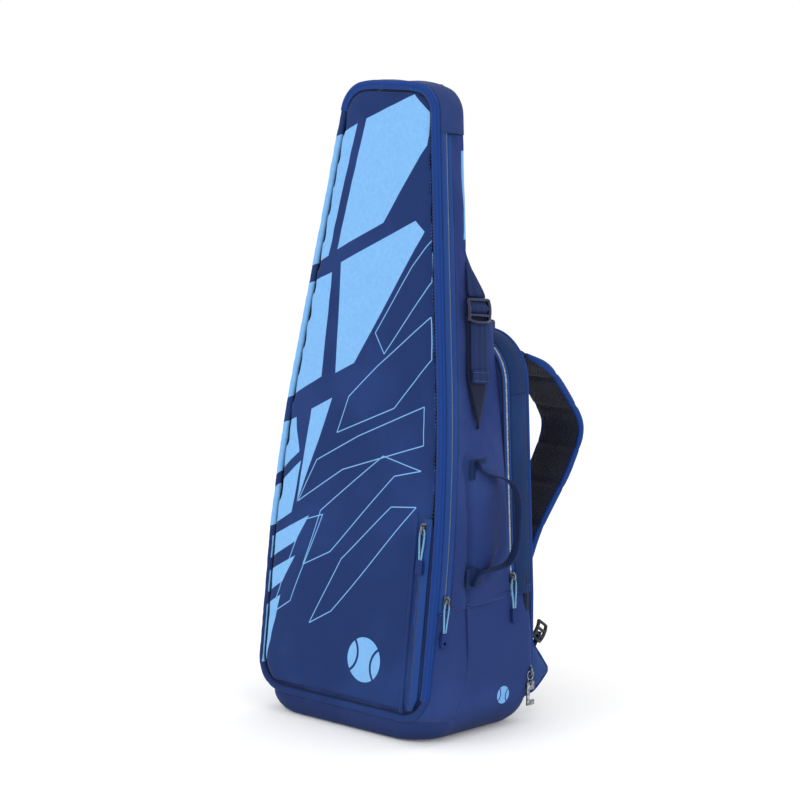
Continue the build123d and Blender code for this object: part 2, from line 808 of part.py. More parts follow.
tail_length = 66.0
tail_top = -buckle_height / 2 - 1
for word, plane in compress_planes.items():
    with BuildPart() as compression_buckle:
        with BuildSketch(plane.offset(webbing + clearance)):
            RectangleRounded(buckle_width, buckle_height, 4)
            with Locations((0, -6), (0, 6)):
                Rectangle(compress_width - 4, 4.5, mode=Mode.SUBTRACT)
        extrude(amount=6)
    hand_in(compression_buckle, f"compression_buckle_{word}")

    with BuildPart() as compression_tail:
        with BuildSketch(plane.offset(webbing + 1)):
            with Locations((0, tail_top - tail_length / 2)):
                Rectangle(compress_width - 2, tail_length)
        extrude(amount=webbing)
        with BuildSketch(plane.offset(webbing + 1)):
            with Locations((0, tail_top - tail_length + 7)):
                Rectangle(compress_width - 2, 14)
        extrude(amount=2 * webbing)
    hand_in(compression_tail, f"compression_tail_{word}")
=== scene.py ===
# %% [markdown]
# A racket tournament bag: a tall backpack whose front compartment leans back and
# narrows into a neck for racket handles. The measured model is loaded first and
# stays fixed. Every piece made here is laid over it, in metres, in the same place.

# %% The measured frame
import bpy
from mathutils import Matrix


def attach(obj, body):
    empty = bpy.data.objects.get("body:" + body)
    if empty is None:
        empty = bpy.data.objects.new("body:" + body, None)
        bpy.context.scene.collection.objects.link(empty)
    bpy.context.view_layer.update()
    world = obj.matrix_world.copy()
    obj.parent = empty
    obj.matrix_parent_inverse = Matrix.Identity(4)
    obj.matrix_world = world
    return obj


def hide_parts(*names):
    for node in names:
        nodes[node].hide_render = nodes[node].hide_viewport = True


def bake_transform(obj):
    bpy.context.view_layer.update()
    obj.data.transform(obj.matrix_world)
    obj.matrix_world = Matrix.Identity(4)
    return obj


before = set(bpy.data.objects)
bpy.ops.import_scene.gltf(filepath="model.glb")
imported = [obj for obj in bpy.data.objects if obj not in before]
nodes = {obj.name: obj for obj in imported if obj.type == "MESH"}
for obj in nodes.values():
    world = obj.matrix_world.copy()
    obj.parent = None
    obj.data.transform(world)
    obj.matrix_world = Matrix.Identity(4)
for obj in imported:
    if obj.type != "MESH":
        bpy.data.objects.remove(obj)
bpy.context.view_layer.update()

import math
import bmesh
import bpy
from mathutils import Matrix, Vector, noise

# %% [markdown]
# The room is lit by a white surround and three large soft lights, so that cloth reads
# by its folds and plastic by its broad highlights. A long lens from a little above
# keeps the upright edges of the bag nearly parallel.

# %% Camera and light
aim = Vector((0.0110, 0.0106, 0.3636))
eye = Vector((2.2095, -2.2660, 0.8366))
camera = bpy.data.objects.new("camera", bpy.data.cameras.new("camera"))
bpy.context.collection.objects.link(camera)
camera.location = eye
camera.rotation_euler = (aim - eye).to_track_quat("-Z", "Y").to_euler()
camera.data.lens = 128.4
bpy.context.scene.camera = camera


def soft_light(name, place, size, power, colour=(1.0, 1.0, 1.0)):
    """A large square light that faces the bag's middle."""
    light = bpy.data.lights.new(name, "AREA")
    light.shape = "SQUARE"
    light.size = size
    light.energy = power
    light.color = colour
    holder = bpy.data.objects.new(name, light)
    bpy.context.collection.objects.link(holder)
    holder.location = place
    holder.rotation_euler = (Vector((0, 0, 0.35)) - holder.location).to_track_quat("-Z", "Y").to_euler()


soft_light("key_light", (-0.6, -2.6, 2.0), 1.6, 18)
soft_light("side_light", (2.8, -0.2, 1.5), 1.8, 7)
soft_light("top_light", (0.2, 0.6, 2.9), 1.8, 8)

world = bpy.data.worlds.new("room")
world.use_nodes = True
world.node_tree.nodes["Background"].inputs["Color"].default_value = (1.0, 1.0, 1.0, 1.0)
world.node_tree.nodes["Background"].inputs["Strength"].default_value = 1.0
bpy.context.scene.world = world
bpy.context.scene.view_settings.view_transform = "Standard"
print("camera", round((eye - aim).length, 2), "m away, lens", round(camera.data.lens, 1))

# %% [markdown]
# A material is a small graph of nodes. One class wraps a socket, so that sums on
# patterns are written as ordinary Python, and one method adds any other node.

# %% Shader sums
class Sum:
    """A number that varies over a surface."""

    def __init__(self, finish, socket):
        self.finish = finish
        self.socket = socket

    def math(self, operation, *values):
        return self.finish.node("Math", {"operation": operation}, dict(enumerate(values)))

    def __add__(self, other):
        return self.math("ADD", self, other)

    def __mul__(self, other):
        return self.math("MULTIPLY", self, other)

    def __sub__(self, other):
        return self.math("SUBTRACT", self, other)

    def __rsub__(self, other):
        return self.math("SUBTRACT", other, self)

    def __gt__(self, other):
        return self.math("GREATER_THAN", self, other)

    def __pow__(self, other):
        return self.math("POWER", self, other)

    __radd__ = __add__
    __rmul__ = __mul__

    def sine(self):
        return self.math("SINE", self)

    def size(self):
        return self.math("ABSOLUTE", self)

    def most(self, other):
        return self.math("MAXIMUM", self, other)

    def least(self, other):
        return self.math("MINIMUM", self, other)

    def step(self, low, high):
        """0 below low, 1 above high and smooth between."""
        return self.finish.node(
            "MapRange", {"interpolation_type": "SMOOTHSTEP"}, {0: self, 1: low, 2: high, 3: 0.0, 4: 1.0}
        )


print("sums read", sum(callable(way) for way in vars(Sum).values()), "kinds of step")

# %% [markdown]
# A finish holds one material and its Principled shader. Settings that are the same
# all over go straight onto the shader's sockets, and only what changes over the
# surface is linked. Colours are picked on the 0 to 255 scale and made linear here.

# %% Colours and finishes
def linear(red, green, blue):
    """A colour from the 0-255 scale, as the shader wants it."""
    def one(level):
        level = level / 255
        return level / 12.92 if level <= 0.04045 else ((level + 0.055) / 1.055) ** 2.4

    return (one(red), one(green), one(blue), 1.0)


class Finish:
    """One material, its shader and the patterns that feed it."""

    def __init__(self, name, colour, rough, **fixed):
        self.material = bpy.data.materials.new(name)
        self.material.use_nodes = True
        self.tree = self.material.node_tree
        self.shader = self.tree.nodes["Principled BSDF"]
        self.put("Base Color", linear(*colour))
        self.put("Roughness", rough)
        for words, value in fixed.items():
            self.put(words.replace("_", " ").title().replace("Ior", "IOR"), value)

    def put(self, socket, value):
        self.join(self.shader.inputs[socket], value)

    def join(self, socket, value):
        if isinstance(value, Sum):
            self.tree.links.new(value.socket, socket)
        else:
            socket.default_value = value

    def node(self, kind, settings=None, sockets=None, out=0):
        """Adds a node: its settings first, then the values or links of its sockets."""
        made = self.tree.nodes.new("ShaderNode" + kind)
        for key, value in (settings or {}).items():
            if key == "stops":
                ramp = made.color_ramp.elements
                ramp[0].position, ramp[0].color = value[0]
                ramp[1].position, ramp[1].color = value[-1]
                for place, colour in value[1:-1]:
                    ramp.new(place).color = colour
            else:
                setattr(made, key, value)
        for key, value in (sockets or {}).items():
            self.join(made.inputs[key], value)
        return Sum(self, made.outputs[out])

    def place(self, source="Object"):
        """The surface's coordinates and their three parts."""
        where = self.node("TexCoord", out=source)
        parts = self.tree.nodes.new("ShaderNodeSeparateXYZ")
        self.tree.links.new(where.socket, parts.inputs[0])
        return where, [Sum(self, parts.outputs[i]) for i in range(3)]

    def mix(self, factor, first, second):
        """One colour over another."""
        mixed = self.tree.nodes.new("ShaderNodeMix")
        mixed.data_type = "RGBA"
        self.join(mixed.inputs[0], factor)
        self.join(mixed.inputs[6], first)
        self.join(mixed.inputs[7], second)
        return Sum(self, mixed.outputs[2])

    def noise(self, where, scale, detail=3.0):
        return self.node("TexNoise", None, {"Vector": where, "Scale": scale, "Detail": detail})

    def bump(self, height, distance, strength=1.0):
        self.put("Normal", self.node("Bump", None, {"Height": height, "Distance": distance, "Strength": strength}))


print("mid grey is", round(linear(128, 128, 128)[0], 3), "to the shader")

# %% [markdown]
# The body cloth is a plain-woven polyester. Threads are about half a millimetre
# apart and run up and across each panel. Summing two of the object's axes lets one
# pattern serve the front, the sides and the slopes without any unwrapping.

# %% Woven cloth
def weave(finish, parts, pitch):
    """Crossing threads, 0 to 1, on any upright face."""
    x, y, z = parts
    turn = 2 * math.pi / pitch
    warp = ((x + y) * turn).sine()
    weft = ((z + (x - y) * 0.12) * turn).sine()
    return (warp * weft) * 0.5 + 0.5


def cloth(name, colour, worn, rough=0.78, sheen=0.06, pitch=0.0009, depth=0.00025):
    """Woven cloth: threads in the relief, and soft patches where it has rubbed."""
    finish = Finish(name, colour, rough, sheen_weight=sheen, sheen_roughness=0.4, specular_ior_level=0.1)
    where, parts = finish.place()
    threads = weave(finish, parts, pitch)
    patches = finish.noise(where, 9.0)
    flecks = finish.noise(where, 700.0, 2.0)
    tone = finish.mix(patches.step(0.42, 0.66), linear(*colour), linear(*worn))
    finish.put("Base Color", finish.mix(threads * 0.25 + flecks * 0.2, tone, linear(*[c * 0.62 for c in colour])))
    finish.put("Roughness", patches * 0.2 + (rough - 0.1))
    puckers = finish.noise(where, 38.0, 2.0)
    finish.bump(threads * 0.35 + flecks * 0.3 + puckers * 2.4, depth)
    return finish


side_cloth = cloth("side_cloth", (40, 60, 119), (51, 71, 132))
gusset_cloth = cloth("gusset_cloth", (24, 50, 96), (30, 58, 108))
shell_cloth = cloth("shell_cloth", (38, 60, 119), (47, 69, 131))
neck_cloth = cloth("neck_cloth", (42, 62, 118), (50, 72, 130))
lining_cloth = cloth("lining_cloth", (22, 26, 38), (28, 33, 48))
strap_cloth = cloth("strap_cloth", (38, 66, 124), (50, 80, 140))
print("cloths:", [made.name for made in bpy.data.materials])

# %% [markdown]
# Two cloths carry more than their weave. The lower shell has a small printed ball on
# its side and painted shade that darkens it towards the foot, where it rolls under,
# and the neck's wall has a light-blue wrap along its rear seam. Each is a mask on the object's own coordinates.

# %% Marks on the cloth
def ball_mark(finish, across, up, radius, seam_reach, thick):
    """A plain ball with two curved seams: 1 where it is printed."""
    away = (across * across + up * up) ** 0.5
    disc = 1 - away.step(radius - 0.3, radius + 0.3)
    for side in (-1, 1):
        offset = across - side * seam_reach
        lift = up + side * radius * 0.24
        seam = (offset * offset + lift * lift) ** 0.5
        disc = disc * (seam - radius * 0.96).size().step(thick, thick + 0.6)
    return disc


where, (x, y, z) = side_cloth.place()
by_seam = (y - 0.0308 - (z - 0.600) * 0.1228).step(0.0, 0.0006)
in_height = z.step(0.5480, 0.5486) * (1 - z.step(0.6440, 0.6446))
wrapped = by_seam * in_height * (x > 0.0)
plain = Sum(side_cloth, side_cloth.shader.inputs["Base Color"].links[0].from_socket)
side_cloth.put("Base Color", side_cloth.mix(wrapped * 0.92, plain, linear(120, 176, 232)))

where, (x, y, z) = shell_cloth.place()
mark = ball_mark(shell_cloth, y * 1000 - 46.0, z * 1000 - 40.0, 10.0, 13.6, 0.5) * (x > 0.12)
plain = Sum(shell_cloth, shell_cloth.shader.inputs["Base Color"].links[0].from_socket)
# painted shade: the shell's colour darkens towards the foot, where it rolls under to the floor
painted_foot_shade = shell_cloth.mix((1 - z.step(0.0, 0.045)) * 0.55, plain, linear(18, 28, 58))
shell_cloth.put("Base Color", shell_cloth.mix(mark * 0.95, painted_foot_shade, linear(120, 176, 232)))
print("marked cloths have", len(side_cloth.tree.nodes), "and", len(shell_cloth.tree.nodes), "nodes")

# %% [markdown]
# Binding tape, zip tape and webbing are narrow weaves with ribs across or along
# them. Their ribs follow the strip, so these finishes read the strip's own map,
# which holds metres along it and across it.

# %% Ribbed tapes
def tape(name, colour, dark, across, along, depth=0.0003, rough=0.6, sheen=0.08):
    """A narrow woven tape: ribs at one pitch across its length and one along it."""
    finish = Finish(name, colour, rough, sheen_weight=sheen, sheen_roughness=0.35, specular_ior_level=0.15)
    where, (run, width, _) = finish.place("UV")
    ribs = (run * (2 * math.pi / across)).sine() * 0.5 + 0.5
    rows = (width * (2 * math.pi / along)).sine() * 0.5 + 0.5
    spots = finish.noise(where, 900.0, 2.0)
    relief = ribs * 0.55 + rows * 0.45
    finish.put("Base Color", finish.mix(relief * 0.75 + spots * 0.2, linear(*dark), linear(*colour)))
    finish.put("Roughness", rough + 0.15 - relief * 0.15)
    finish.bump(relief + spots * 0.3, depth)
    return finish


bright_binding = tape("bright_binding", (18, 66, 146), (12, 44, 104), 0.0011, 0.0030)
bright_tape = tape("bright_tape", (30, 72, 142), (20, 52, 112), 0.0012, 0.0014, 0.0002)
dark_tape = tape("dark_tape", (24, 34, 66), (15, 22, 44), 0.0012, 0.0014, 0.0002)
blue_webbing = tape("blue_webbing", (27, 62, 122), (17, 40, 84), 0.0016, 0.0042, 0.0004)
navy_webbing = tape("navy_webbing", (27, 50, 100), (17, 33, 70), 0.0016, 0.0042, 0.0004)
print("webbing has", len(navy_webbing.tree.nodes), "nodes")

# %% [markdown]
# Metal and moulded parts show their making too: fine brushing on the sliders, a
# slightly uneven gloss on plastic, and a braid on the pull cords.

# %% Hard finishes
def metal(name, colour, bright, rough=0.3):
    """Plated metal with rubbed high spots."""
    finish = Finish(name, colour, rough, metallic=1.0)
    where, _ = finish.place()
    rub = finish.noise(where, 260.0, 4.0)
    finish.put("Base Color", finish.mix(rub.step(0.45, 0.7), linear(*colour), linear(*bright)))
    finish.put("Roughness", rub * 0.35 + (rough - 0.1))
    finish.bump(rub, 0.00008)
    return finish


def moulded(name, colour, rough=0.28, coat=0.4, shine=0.35):
    """Moulded plastic: a faint spark-eroded grain under a gloss."""
    finish = Finish(name, colour, rough, coat_weight=coat, coat_roughness=0.18, specular_ior_level=shine)
    where, _ = finish.place()
    grain = finish.noise(where, 1500.0, 2.0)
    cloud = finish.noise(where, 70.0, 2.0)
    finish.put("Base Color", finish.mix(cloud, linear(*colour), linear(*[c * 1.25 for c in colour])))
    finish.put("Roughness", cloud * 0.16 + (rough - 0.06))
    finish.bump(grain + cloud * 1.5, 0.00006)
    return finish


gunmetal = metal("gunmetal", (84, 88, 98), (150, 155, 165))
hook_plating = metal("hook_plating", (120, 124, 130), (190, 194, 200), 0.25)
silver_teeth = metal("silver_teeth", (188, 192, 198), (225, 228, 232), 0.38)
grey_teeth = moulded("grey_teeth", (120, 128, 142), 0.4, 0.2)
dark_teeth = moulded("dark_teeth", (34, 44, 74), 0.35, 0.3)
navy_plastic = moulded("navy_plastic", (9, 20, 52), 0.2, 0.18)
black_plastic = moulded("black_plastic", (16, 18, 24), 0.3, 0.12)
tab_rubber = moulded("tab_rubber", (18, 38, 88), 0.55, 0.0, 0.15)

thread = Finish("thread", (70, 100, 160), 0.6)
spot, _ = thread.place()
thread.put("Roughness", thread.noise(spot, 900.0) * 0.3 + 0.45)

braid = Finish("braid", (110, 185, 230), 0.55, sheen_weight=0.3)
where, (run, round_cord, _) = braid.place("UV")
right_lay = ((run * 44.0 + round_cord * 2.0) * (2 * math.pi)).sine()
left_lay = ((run * 44.0 - round_cord * 2.0) * (2 * math.pi)).sine()
strands = right_lay * left_lay
braid.put("Base Color", braid.mix(strands * 0.5 + 0.5, linear(78, 150, 205), linear(132, 200, 238)))
braid.bump(strands, 0.00035)

mesh_cloth = Finish("mesh_cloth", (30, 33, 50), 0.85, sheen_weight=0.1, specular_ior_level=0.12)
where, (x, y, z) = mesh_cloth.place()
cell = 2 * math.pi / 0.0036
holes = ((x + y * 0.3) * cell).sine() * ((z + y * 0.3) * cell).sine()
mesh_cloth.put("Base Color", mesh_cloth.mix(holes.step(0.0, 0.7), linear(36, 40, 60), linear(12, 13, 20)))
mesh_cloth.bump(0 - holes.step(-0.2, 0.8), 0.0009)
print("finishes:", len(bpy.data.materials))

# %% [markdown]
# Most of this bag is cloth that follows one of two outlines: the leaning front, and
# the upright arch of the main compartment. An outline starts as a polygon with a few
# corners, and the bevel operator rounds each by its own amount. Walking it by length
# then says where a seam or a strip of cloth lies.

# %% Outlines
class Outline:
    """A closed outline in metres that can be walked by length, anticlockwise from its foot."""

    def __init__(self, corners):
        flat = bmesh.new()
        dots = [flat.verts.new((x / 1000, y / 1000, 0)) for x, y, _ in corners]
        flat.faces.new(dots)
        for dot, (_, _, cut) in zip(dots, corners):
            if cut:
                bmesh.ops.bevel(
                    flat, geom=[dot], offset=cut / 1000, offset_type="OFFSET", segments=10,
                    profile=0.5, affect="VERTICES", material=-1,
                )
        flat.faces.ensure_lookup_table()
        points = [Vector(corner.vert.co[:2]) for corner in flat.faces[0].loops]
        flat.free()
        start = min(range(len(points)), key=lambda i: abs(points[i].x) + 10 * (points[i].y - corners[0][1] / 1000))
        self.points = points[start:] + points[: start + 1]
        self.marks = [0.0]
        for before, after in zip(self.points, self.points[1:]):
            self.marks.append(self.marks[-1] + (after - before).length)
        self.length = self.marks[-1]

    def spot(self, s):
        s = s % self.length
        for i, mark in enumerate(self.marks[1:]):
            if s <= mark:
                run = mark - self.marks[i]
                return self.points[i].lerp(self.points[i + 1], (s - self.marks[i]) / run if run else 0)
        return self.points[-1]

    def at(self, s):
        """The point at a length and the outward direction there."""
        ahead = self.spot(s + 0.003) - self.spot(s - 0.003)
        return self.spot(s), Vector((ahead.y, -ahead.x)).normalized()

    def reach(self, height, right=True):
        """The length at which one side reaches a height."""
        span = range(len(self.points) - 1)
        for i in span if right else reversed(span):
            low, high = (i, i + 1) if right else (i + 1, i)
            a, b = self.points[low], self.points[high]
            if a.y <= height < b.y and (a.x + b.x > 0) == right:
                part = (height - a.y) / (b.y - a.y)
                return self.marks[low] + part * (self.marks[high] - self.marks[low])
        return None


front_edge = Outline([
    (0, 27, 0), (133, 27, 38), (133, 285.8, 105), (69.5, 715.8, 22), (34.9, 723.8, 12),
    (-34.9, 723.8, 12), (-69.5, 715.8, 22), (-133, 285.8, 105), (-133, 27, 38),
])
main_edge = Outline([
    (0, 24, 0), (133, 24, 24), (133, 150, 6), (121.5, 436, 47), (60.9, 442, 12),
    (-60.9, 442, 12), (-121.5, 436, 47), (-133, 150, 6), (-133, 24, 24),
])
print("front outline", round(front_edge.length, 3), "main outline", round(main_edge.length, 3))

lean = math.radians(7)
up_front = Vector((0, math.sin(lean), math.cos(lean)))
out_front = Vector((0, -math.cos(lean), math.sin(lean)))
front_foot = Vector((0, -0.080, 0))
divider_y = 0.057
back_y = 0.095
seam_z = 0.150


def on_front(u, v, w=0.0):
    """A point on the leaning front, w metres out of it."""
    return front_foot + Vector((u, 0, 0)) + up_front * v + out_front * w


def around_front(s, depth, lift=0.0):
    """A point on the racket compartment's wall, depth metres behind the front."""
    spot, out = front_edge.at(s)
    return on_front(spot.x + out.x * lift, spot.y + out.y * lift, -depth)


def around_main(s, y, lift=0.0):
    """A point on the main compartment's wall."""
    spot, out = main_edge.at(s)
    return Vector((spot.x + out.x * lift, y, spot.y + out.y * lift))

# %% [markdown]
# One helper lays cloth: it starts from the grid operator, whose map gives each strip
# its own metres, and a rule says where each vertex of the grid goes, as a sculptor
# would push it. Piping is the same grid rolled into a tube.

# %% Laying cloth
def finish_piece(name, mesh_work, finish, body, smooth=True):
    """Turns worked mesh into an object with its finish, riding on its body."""
    bmesh.ops.recalc_face_normals(mesh_work, faces=mesh_work.faces[:])
    for face in mesh_work.faces:
        face.smooth = smooth
    mesh = bpy.data.meshes.new(name)
    mesh_work.to_mesh(mesh)
    mesh_work.free()
    piece = bpy.data.objects.new(name, mesh)
    bpy.context.collection.objects.link(piece)
    for one in finish if isinstance(finish, (list, tuple)) else [finish]:
        mesh.materials.append(one.material)
    if body:
        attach(piece, body)
    return piece


def lay(rule, columns, rows, size=(1.0, 1.0)):
    """A grid whose vertices go where the rule puts (a, b), both from 0 to 1."""
    work = bmesh.new()
    bmesh.ops.create_grid(work, x_segments=columns, y_segments=rows, size=0.5, calc_uvs=True)
    chart = work.loops.layers.uv.verify()
    for face in work.faces:
        for corner in face.loops:
            a, b = corner.vert.co.x + 0.5, corner.vert.co.y + 0.5
            corner[chart].uv = (a * size[0], b * size[1])
    for dot in work.verts:
        dot.co = rule(dot.co.x + 0.5, dot.co.y + 0.5)
    return work


def thicken(piece, amount, offset=-1.0):
    """Gives a strip of cloth its thickness."""
    wall = piece.modifiers.new("thickness", "SOLIDIFY")
    wall.thickness = amount
    wall.offset = offset
    return piece


def strip(name, rule, columns, rows, size, finish, body, amount=0.0015, offset=-1.0):
    return thicken(finish_piece(name, lay(rule, columns, rows, size), finish, body), amount, offset)


def tube(name, spine, length, steps, across, high, finish, body, round_steps=10, shape=2.0):
    """A tube whose spine(t) gives a point, the way across it and the way out."""

    def rule(a, b):
        centre, side, out = spine(a)
        turn = b * 2 * math.pi
        c, s = math.cos(turn), math.sin(turn)
        x = math.copysign(abs(c) ** (2 / shape), c)
        y = math.copysign(abs(s) ** (2 / shape), s)
        wide = across(a) if callable(across) else across
        tall = high(a) if callable(high) else high
        return centre + side * (x * wide / 2) + out * (y * tall / 2)

    girth = 2 * (across(0.5) if callable(across) else across)
    work = lay(rule, steps, round_steps, (length, girth))
    if isinstance(finish, (list, tuple)):
        chart = work.loops.layers.uv.verify()
        for face in work.faces:
            middle = sum(corner[chart].uv.y for corner in face.loops) / len(face.loops)
            face.material_index = 1 if middle > girth / 2 else 0
    bmesh.ops.remove_doubles(work, verts=work.verts[:], dist=0.00002)
    ends = [edge for edge in work.edges if edge.is_boundary]
    bmesh.ops.holes_fill(work, edges=ends, sides=0)
    return finish_piece(name, work, finish, body)


def ripple(x, y, z, scale, seed=0.0):
    """Soft unevenness from -1 to 1."""
    return noise.noise(Vector((x * scale + seed, y * scale, z * scale)))


print("unevenness at the origin", round(ripple(0, 0, 0, 1, 0.3), 3))

# %% [markdown]
# The lower shell is a soft tub. Seen from above it is a rectangle with rounded
# corners, and the front corners round more towards the floor, where the front panel's
# own corners are cut away. It is lofted from rings, sags a little between its seams
# and rolls under to a closed bottom.

# %% Lower shell
half_width = 0.133


def panel_half(v):
    """Half of the front panel's width at a height up the front."""
    if v < 0.027 + 0.038:
        drop = 0.065 - max(v, 0.027)
        return half_width - 0.038 + math.sqrt(max(0.038**2 - drop**2, 0))
    return half_width


def tub_ring(t, z, grow):
    """A point round the tub at height z: t runs from the front centre, anticlockwise."""
    lean_y = front_foot.y + z * math.tan(lean) + 0.004 - grow * 0.4
    round_in = min(1.0, max(0.0, (0.055 - z) / 0.050))
    cut = max(0.007, (half_width - panel_half(z / math.cos(lean))) * 1.02)
    back_cut = 0.010 + 0.020 * round_in
    x = half_width + grow
    rear = back_y + grow * 0.5
    mirror = t > 0.5
    t = (1 - t) * 2 if mirror else t * 2
    runs = [x - cut, cut * 1.35, rear - back_cut - lean_y - cut, back_cut * 1.35, x - back_cut]
    shares = [0.28, 0.08, 0.30, 0.04, 0.30]
    for index, share in enumerate(shares):
        if t <= share or index == 4:
            part = min(t / share, 1.0)
            break
        t -= share
    if index == 0:
        spot = (runs[0] * part, lean_y)
    elif index == 1:
        turn = part * math.pi / 2
        spot = (x - cut + cut * math.sin(turn), lean_y + cut - cut * math.cos(turn))
    elif index == 2:
        spot = (x, lean_y + cut + runs[2] * part)
    elif index == 3:
        turn = part * math.pi / 2
        spot = (x - back_cut + back_cut * math.cos(turn), rear - back_cut + back_cut * math.sin(turn))
    else:
        spot = ((x - back_cut) * (1 - part), rear)
    return Vector((-spot[0] if mirror else spot[0], spot[1], z))


def tub_rule(a, b):
    roll = 0.030
    under = 0.34
    z = 0.0015 + roll + (seam_z + 0.004 - roll) * max(0.0, (b - under) / (1 - under))
    inward = 0.0
    if b < under:
        turn = (1 - b / under) * math.pi / 2
        z = 0.0015 + roll * (1 - math.sin(turn))
        inward = roll * (1 - math.cos(turn)) * 0.75
    belly = math.sin(math.pi * min(1.0, max(0.0, (z - 0.005) / (seam_z - 0.005)))) * 0.0048
    spot = tub_ring(a, z, belly - inward)
    sag = ripple(spot.x, spot.y, spot.z, 13, 3.1) * 0.0026 + ripple(spot.x, spot.y, spot.z * 0.5, 45, 8.0) * 0.0008
    beside_panel = min(1.0, max(0.0, (0.050 - spot.z) / 0.02)) if spot.y < -0.03 else 0.0
    pucker = ripple(spot.x, spot.y * 2, spot.z * 0.3, 80, 9.0) * 0.0018 * beside_panel
    out = Vector((spot.x, spot.y * 0.6, 0)).normalized()
    return spot + out * (sag + pucker) * min(1.0, b * 3)


work = lay(tub_rule, 220, 56, (0.9, 0.19))
bmesh.ops.remove_doubles(work, verts=work.verts[:], dist=0.00002)
floor_rim = [e for e in work.edges if e.is_boundary and e.verts[0].co.z < 0.01]
bmesh.ops.holes_fill(work, edges=floor_rim, sides=0)
tub = thicken(finish_piece("lower_shell", work, shell_cloth, "bag"), 0.0014)
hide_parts("right_lower_panel", "left_lower_panel", "base_tray", "base_board")
print("tub", [round(c, 3) for c in tub.dimensions])

# %% [markdown]
# The racket compartment is a wedge between the leaning front and the upright wall
# behind it. Above the main compartment it thins to a neck that leans with the front.
# These helpers say where a wall has to end.

# %% Where the racket compartment ends
zip_top_v = 0.672
neck_depth, slope_foot, slope_top = 0.041, 0.465, 0.535


def rear_y(z):
    """Where the racket compartment ends at a height: it thins into the neck."""
    leaning = front_foot.y + (max(z, slope_top) * math.sin(lean) + neck_depth) / math.cos(lean)
    t = min(1.0, max(0.0, (z - slope_foot) / (slope_top - slope_foot)))
    t = 0.6 * t + 0.4 * t * t * (3 - 2 * t)
    return divider_y + (leaning - divider_y) * t


def wall_back(v):
    """How deep the wall runs at a height, square to the front."""
    depth = neck_depth
    for _ in range(6):
        z = v * math.cos(lean) - depth * math.sin(lean)
        depth = (rear_y(z) - front_foot.y - v * math.sin(lean)) / math.cos(lean)
    return depth


def low_v(depth):
    """Where the side seam crosses, at a depth behind the front."""
    return (seam_z - 0.002 + depth * math.sin(lean)) / math.cos(lean)


print("depth at the foot", round(wall_back(0.2), 3), "and in the neck", round(wall_back(0.65), 3))

# %% [markdown]
# The walls stand on the side seam. The right one begins behind the zip, the left one
# right behind the front panel. Between its seams each bulges by a few millimetres,
# and folds run where the seams and the neck strap pull the cloth in.

# %% Racket compartment walls
def valley(point, start, stop, wide, deep):
    """How deep the cloth is pulled in beside a line on the side wall, in (y, z)."""
    start, stop = Vector(start), Vector(stop)
    here = Vector((point.y, point.z)) - start
    along = stop - start
    t = min(1.0, max(0.0, here.dot(along) / along.length_squared))
    away = (here - along * t).length
    fade = min(1.0, 0.35 + 5 * t * (1 - t))
    return deep * fade * math.exp(-((away / wide) ** 2))


def racket_wall(front, right, belly):
    """The rule for one side wall."""

    def rule(a, b):
        v0 = low_v(front + b * 0.1)
        top = front_edge.reach(zip_top_v, right)
        start = front_edge.reach(v0, right)
        s = start + (top - start) * a
        spot, _ = front_edge.at(s)
        depth = front + (wall_back(spot.y) - 0.0004 - front) * b
        swell = math.sin(math.pi * b) ** 0.7 * belly * (0.45 + 0.55 * math.sin(math.pi * min(1, a * 1.15)))
        point = around_front(s, depth, -0.0004)
        fold = ripple(point.x * 0.2, point.y, point.z * 0.7, 15, 5.0) * 0.0048
        fold += ripple(point.x, point.y + point.z * 0.6, point.z * 0.4, 42, 2.0) * 0.0014
        fold += ripple(point.x, point.y * 2, point.z, 90, 7.0) * 0.0004
        fold -= valley(point, (-0.011, 0.150), (-0.006, 0.315), 0.0045, 0.0060)
        fold -= valley(point, (-0.006, 0.315), (-0.040, 0.262), 0.0075, 0.0034)
        fold -= valley(point, (0.046, 0.205), (0.012, 0.178), 0.0060, 0.0030)
        fold -= valley(point, (0.0153, 0.350), (0.0370, 0.520), 0.0170, 0.0040)
        fold += valley(point, (0.016, 0.170), (0.020, 0.300), 0.0170, 0.0034)
        edge = min(1.0, 8 * b * (1 - b) + 0.02)
        return around_front(s, depth, -0.0006 + swell + fold * edge)

    return rule


right_wall = strip("right_gusset_cloth", racket_wall(0.023, True, 0.0034), 180, 40, (0.55, 0.11), side_cloth, "bag")
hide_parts("right_gusset")
left_wall = strip("left_gusset_cloth", racket_wall(0.004, False, 0.0034), 180, 40, (0.55, 0.13), side_cloth, "bag")
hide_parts("left_gusset")
print("wall", [round(c, 3) for c in right_wall.dimensions])

# %% [markdown]
# A cap goes over the top of the neck, from the front panel to the rear seam, and the
# neck's back is a plain panel that domes a little.

# %% Neck cap and back
def cap_rule(a, b):
    start = front_edge.reach(zip_top_v - 0.001, True)
    stop = front_edge.reach(zip_top_v - 0.001, False)
    s = start + (stop - start) * a
    spot, _ = front_edge.at(s)
    depth = 0.004 + (wall_back(spot.y) - 0.004) * b
    point = around_front(s, depth)
    crease = ripple(point.x, point.y, point.z, 40, 4.0) * 0.0014
    return around_front(s, depth, math.sin(math.pi * b) * 0.0022 + crease * 4 * b * (1 - b))


cap = strip("neck_cap_cloth", cap_rule, 70, 14, (0.24, 0.05), neck_cloth, "bag")
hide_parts("neck_cap")


def neck_back_rule(a, b):
    z = 0.428 + b * (0.7155 - 0.428)
    v = z * math.cos(lean) + (rear_y(z) - front_foot.y) * math.sin(lean)
    side = front_edge.spot(front_edge.reach(min(v, 0.7225), True)).x
    x = (a * 2 - 1) * (side - 0.0008)
    dome = (1 - (a * 2 - 1) ** 4) * math.sin(math.pi * min(1, b * 1.1)) * 0.004
    return Vector((x, rear_y(z) + dome - 0.0006, z))


